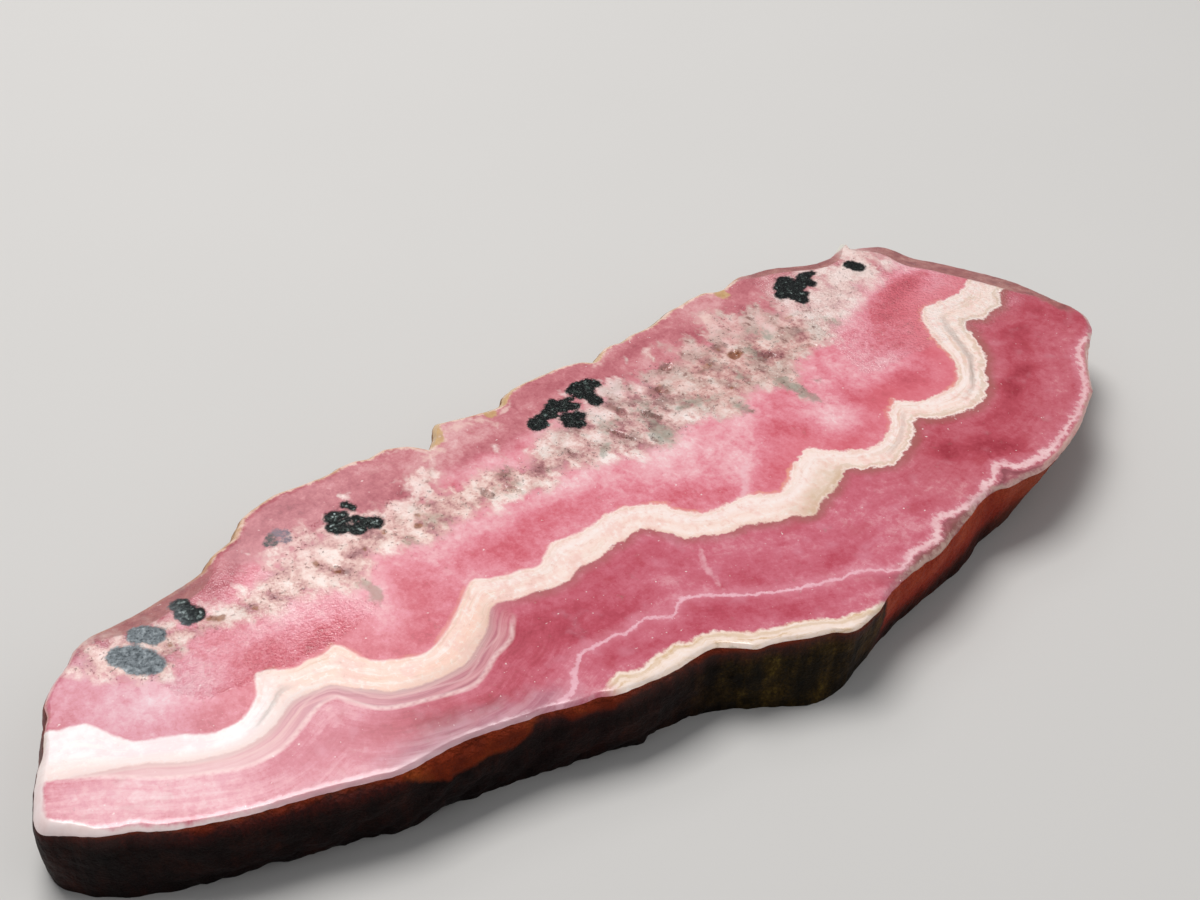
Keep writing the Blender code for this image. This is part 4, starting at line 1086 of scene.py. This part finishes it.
def wall_material():
    g = Graph("natural_rim")
    stone, _, _, facet, t = stone_colour(g)
    clouds = g.noise(2.6, 4.0, roughness=0.6)
    ribs = g.noise(1.0, 3.0, g.scaled(g.place, (1.0, 1.0, 0.2)), roughness=0.6)
    vary = clouds * 0.6 + ribs * 0.5 + t.grit * 0.3
    right = g.step(g.along + t.mottle * 0.5, 9.2, 9.9)
    # The front walls' dark, olive and red colours are partly the stone's own dark crust and red rind and
    # partly painted shade, darkened to stand for walls in shadow.
    dark = g.ramp(0.34 + vary, "020101 090504 170D08 302013 5C442A", (0, 0.35, 0.6, 0.8, 1))
    olive = g.ramp(0.42 + vary * 1.2, "080501 201604 3F2E0D 63501F 94804A", (0, 0.35, 0.6, 0.8, 1))
    crust = g.mix(g.step(g.along + clouds * 4, -9, 1), dark, olive)
    red = g.ramp(0.4 + vary, "120302 2E0906 5A170D 86311E A8674A", (0, 0.35, 0.6, 0.85, 1))
    # The smooth red wall on the right grows darker down towards the underside: painted shade under its
    # undercut.
    smooth = g.ramp(0.62 + clouds * 0.3 + t.grit * 0.25
                    - g.step(t.depth + clouds * 0.8, 1.5, 6.0) * 0.52,
                    "1C0903 54180B 9A2B18 BC4E30 D58A5C")
    smooth = g.mix(g.step(g.along + clouds * 3, 25, 33) * 0.5, smooth, "8A4420")
    ochre = g.ramp(0.5 + clouds * 0.8 + t.mottle * 0.5,
                   "5A3C2C 8A6448 B48B64 D2AF8F E6CBB5", (0, 0.35, 0.6, 0.85, 1))
    natural = g.ramp(0.5 + clouds * 0.7 + t.clumps * 0.3, "4E2A26 7A4640 A06A5E C4968A",
                     (0, 0.35, 0.65, 1))
    deeper = g.step(t.depth + clouds * 2.0, 0.8, 3.5)
    stained = g.step(g.value("ochre") + clouds * 1.3 - deeper * 0.45, 0.2, 0.8)
    # Painted light: an orange-red glow in the wall just under the polished edge, as if light shone through
    # the stone there; lit sets where it reaches deepest.
    lit = g.stretch(-29, -26, -20, -17.5) * 1.3 + g.stretch(-16.5, -15.5, -13, -11.5) * 0.5
    glow = g.step(t.depth + clouds * 1.1 - lit, 0.7, 0.1) * g.value("red_wall") * (1 - right)
    wall = g.cover(
        g.mix(0.8, stone, natural),
        (stained * 0.8, ochre),
        # dark red and crust on the front walls, partly painted shade
        (g.value("red_wall"), g.mix(right, red, smooth)),
        (g.value("crust") * (1 - right) * g.step(t.depth + clouds * 1.5, 0.2, 1.8), crust),
        # painted glow of light through the edge
        (glow * 0.8, g.ramp(0.5 + clouds, "5A1606 8E300C B0581F")),
        (facet * g.step(t.depth, 2.2, 0.8), "7E464A"))
    height = g.noise(0.5, 4.0, roughness=0.65) + g.cells(0.7, "Distance") * 0.6 + ribs * 0.8
    return g.finish(height, 0.25, Base_Color=wall, Roughness=0.6 + t.mottle * 0.2 + t.grit * 0.1,
                    IOR=1.45, Specular_IOR_Level=0.12)


def sawn_material():
    g = Graph("sawn_underside")
    stone, _, _, _, t = stone_colour(g)
    blade = g.noise(1.0, 3.0, g.joined(t.x * 1.6 + t.y * 0.25, t.x * 0.02, t.y * 0.05), roughness=0.6)
    return g.finish(blade + t.grit * 0.4, 0.08, Base_Color=g.mix(0.28 + blade * 0.12, stone, "CDB4AE"),
                    Roughness=0.6 + blade * 0.12 + t.grit * 0.1, IOR=1.6)


def make_slice():
    """The slice, with its middle over the origin. Gives that middle in the drawing frame."""
    places, faces, kinds, rings = slab_mesh()
    low, high = np.min(rings, axis=(0, 1)), np.max(rings, axis=(0, 1))
    middle = (low + high) / 2 * (1, 1, 0)
    mesh = bpy.data.meshes.new("slice")
    mesh.from_pydata((places - middle) * MM, [], faces)
    mesh.polygons.foreach_set("material_index", kinds)
    for name, numbers in (stone_fields(places, rings) | rim_masks(places, len(rings))).items():
        values = mesh.attributes.new(name, "FLOAT", "POINT").data
        values.foreach_set("value", numbers.astype(np.float32))
    mesh.shade_smooth()
    mesh.set_sharp_from_angle(angle=math.radians(SHARP_ANGLE))
    for material in (polished_material(), wall_material(), sawn_material()):
        mesh.materials.append(material)
    piece = bpy.data.objects.new("slice", mesh)
    bpy.context.scene.collection.objects.link(piece)
    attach(piece, "root")
    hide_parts(NODE)
    return middle


# ---------------------------------------------------------------- studio

VIEW_ELEVATION = math.radians(40)
VIEW_AZIMUTH = math.radians(38)
VIEW_DISTANCE = 142.8
VIEW_TARGET = (3.1, 7.8, THICKNESS)      # in the drawing frame
LENS, SENSOR = 52.28, 36.0
CLIP_START = 5
FLOOR_SIZE = 3000
LIGHTS = (                               # name, place as the camera sees it, width and depth, power
    ("key", (-90, 120, 420), (230, 230), 1.5),
    ("sheen", (-180, 330, 400), (220, 120), 0.2),
    ("fill", (260, -60, 260), (300, 300), 0.12),
)
SKY, SKY_STRENGTH = (0.92, 0.95, 1.0, 1), 0.27


def seen(right, away, up):
    """A direction or place given as the camera sees it: to its right, away from it and up."""
    c, s = math.cos(VIEW_AZIMUTH), math.sin(VIEW_AZIMUTH)
    return Vector((right * c + away * s, away * c - right * s, up))


def make_camera(middle):
    camera = bpy.data.objects.new("camera", bpy.data.cameras.new("camera"))
    camera.data.lens, camera.data.sensor_width = LENS, SENSOR
    camera.data.clip_start = CLIP_START * MM
    target = Vector(np.array(VIEW_TARGET) - middle) * MM
    direction = seen(0, -math.cos(VIEW_ELEVATION), math.sin(VIEW_ELEVATION))
    camera.location = target + direction * VIEW_DISTANCE * MM
    camera.rotation_euler = direction.to_track_quat("Z", "Y").to_euler()
    bpy.context.scene.collection.objects.link(camera)
    bpy.context.scene.camera = camera


def make_light(name, place, size, power):
    light = bpy.data.lights.new(name, "AREA")
    light.shape, light.size, light.size_y = "RECTANGLE", size[0] * MM, size[1] * MM
    light.energy = power
    lamp = bpy.data.objects.new(name, light)
    place = seen(*place)
    lamp.location = place * MM
    lamp.rotation_euler = place.to_track_quat("Z", "Y").to_euler()
    bpy.context.scene.collection.objects.link(lamp)


def make_floor():
    far = FLOOR_SIZE / 2 * MM
    mesh = bpy.data.meshes.new("floor")
    mesh.from_pydata([(-far, -far, 0), (far, -far, 0), (far, far, 0), (-far, far, 0)], [],
                     [(0, 1, 2, 3)])
    g = Graph("pale_floor")
    pale = g.ramp(0.5 + g.noise(40.0) * 0.3, "CFCCC8 D6D3CF")
    g.output(g.shader, 0, Base_Color=pale, Roughness=0.9)
    mesh.materials.append(g.material)
    floor = bpy.data.objects.new("floor", mesh)
    bpy.context.scene.collection.objects.link(floor)


def make_studio(middle):
    """A camera at the slice, a pale floor, and soft light from above, behind and the right."""
    make_camera(middle)
    make_floor()
    for light in LIGHTS:
        make_light(*light)
    world = bpy.data.worlds.new("studio")
    world.use_nodes = True
    background = world.node_tree.nodes["Background"]
    background.inputs["Color"].default_value = SKY
    background.inputs["Strength"].default_value = SKY_STRENGTH
    bpy.context.scene.world = world
    bpy.context.scene.view_settings.view_transform = "Standard"


make_studio(make_slice())
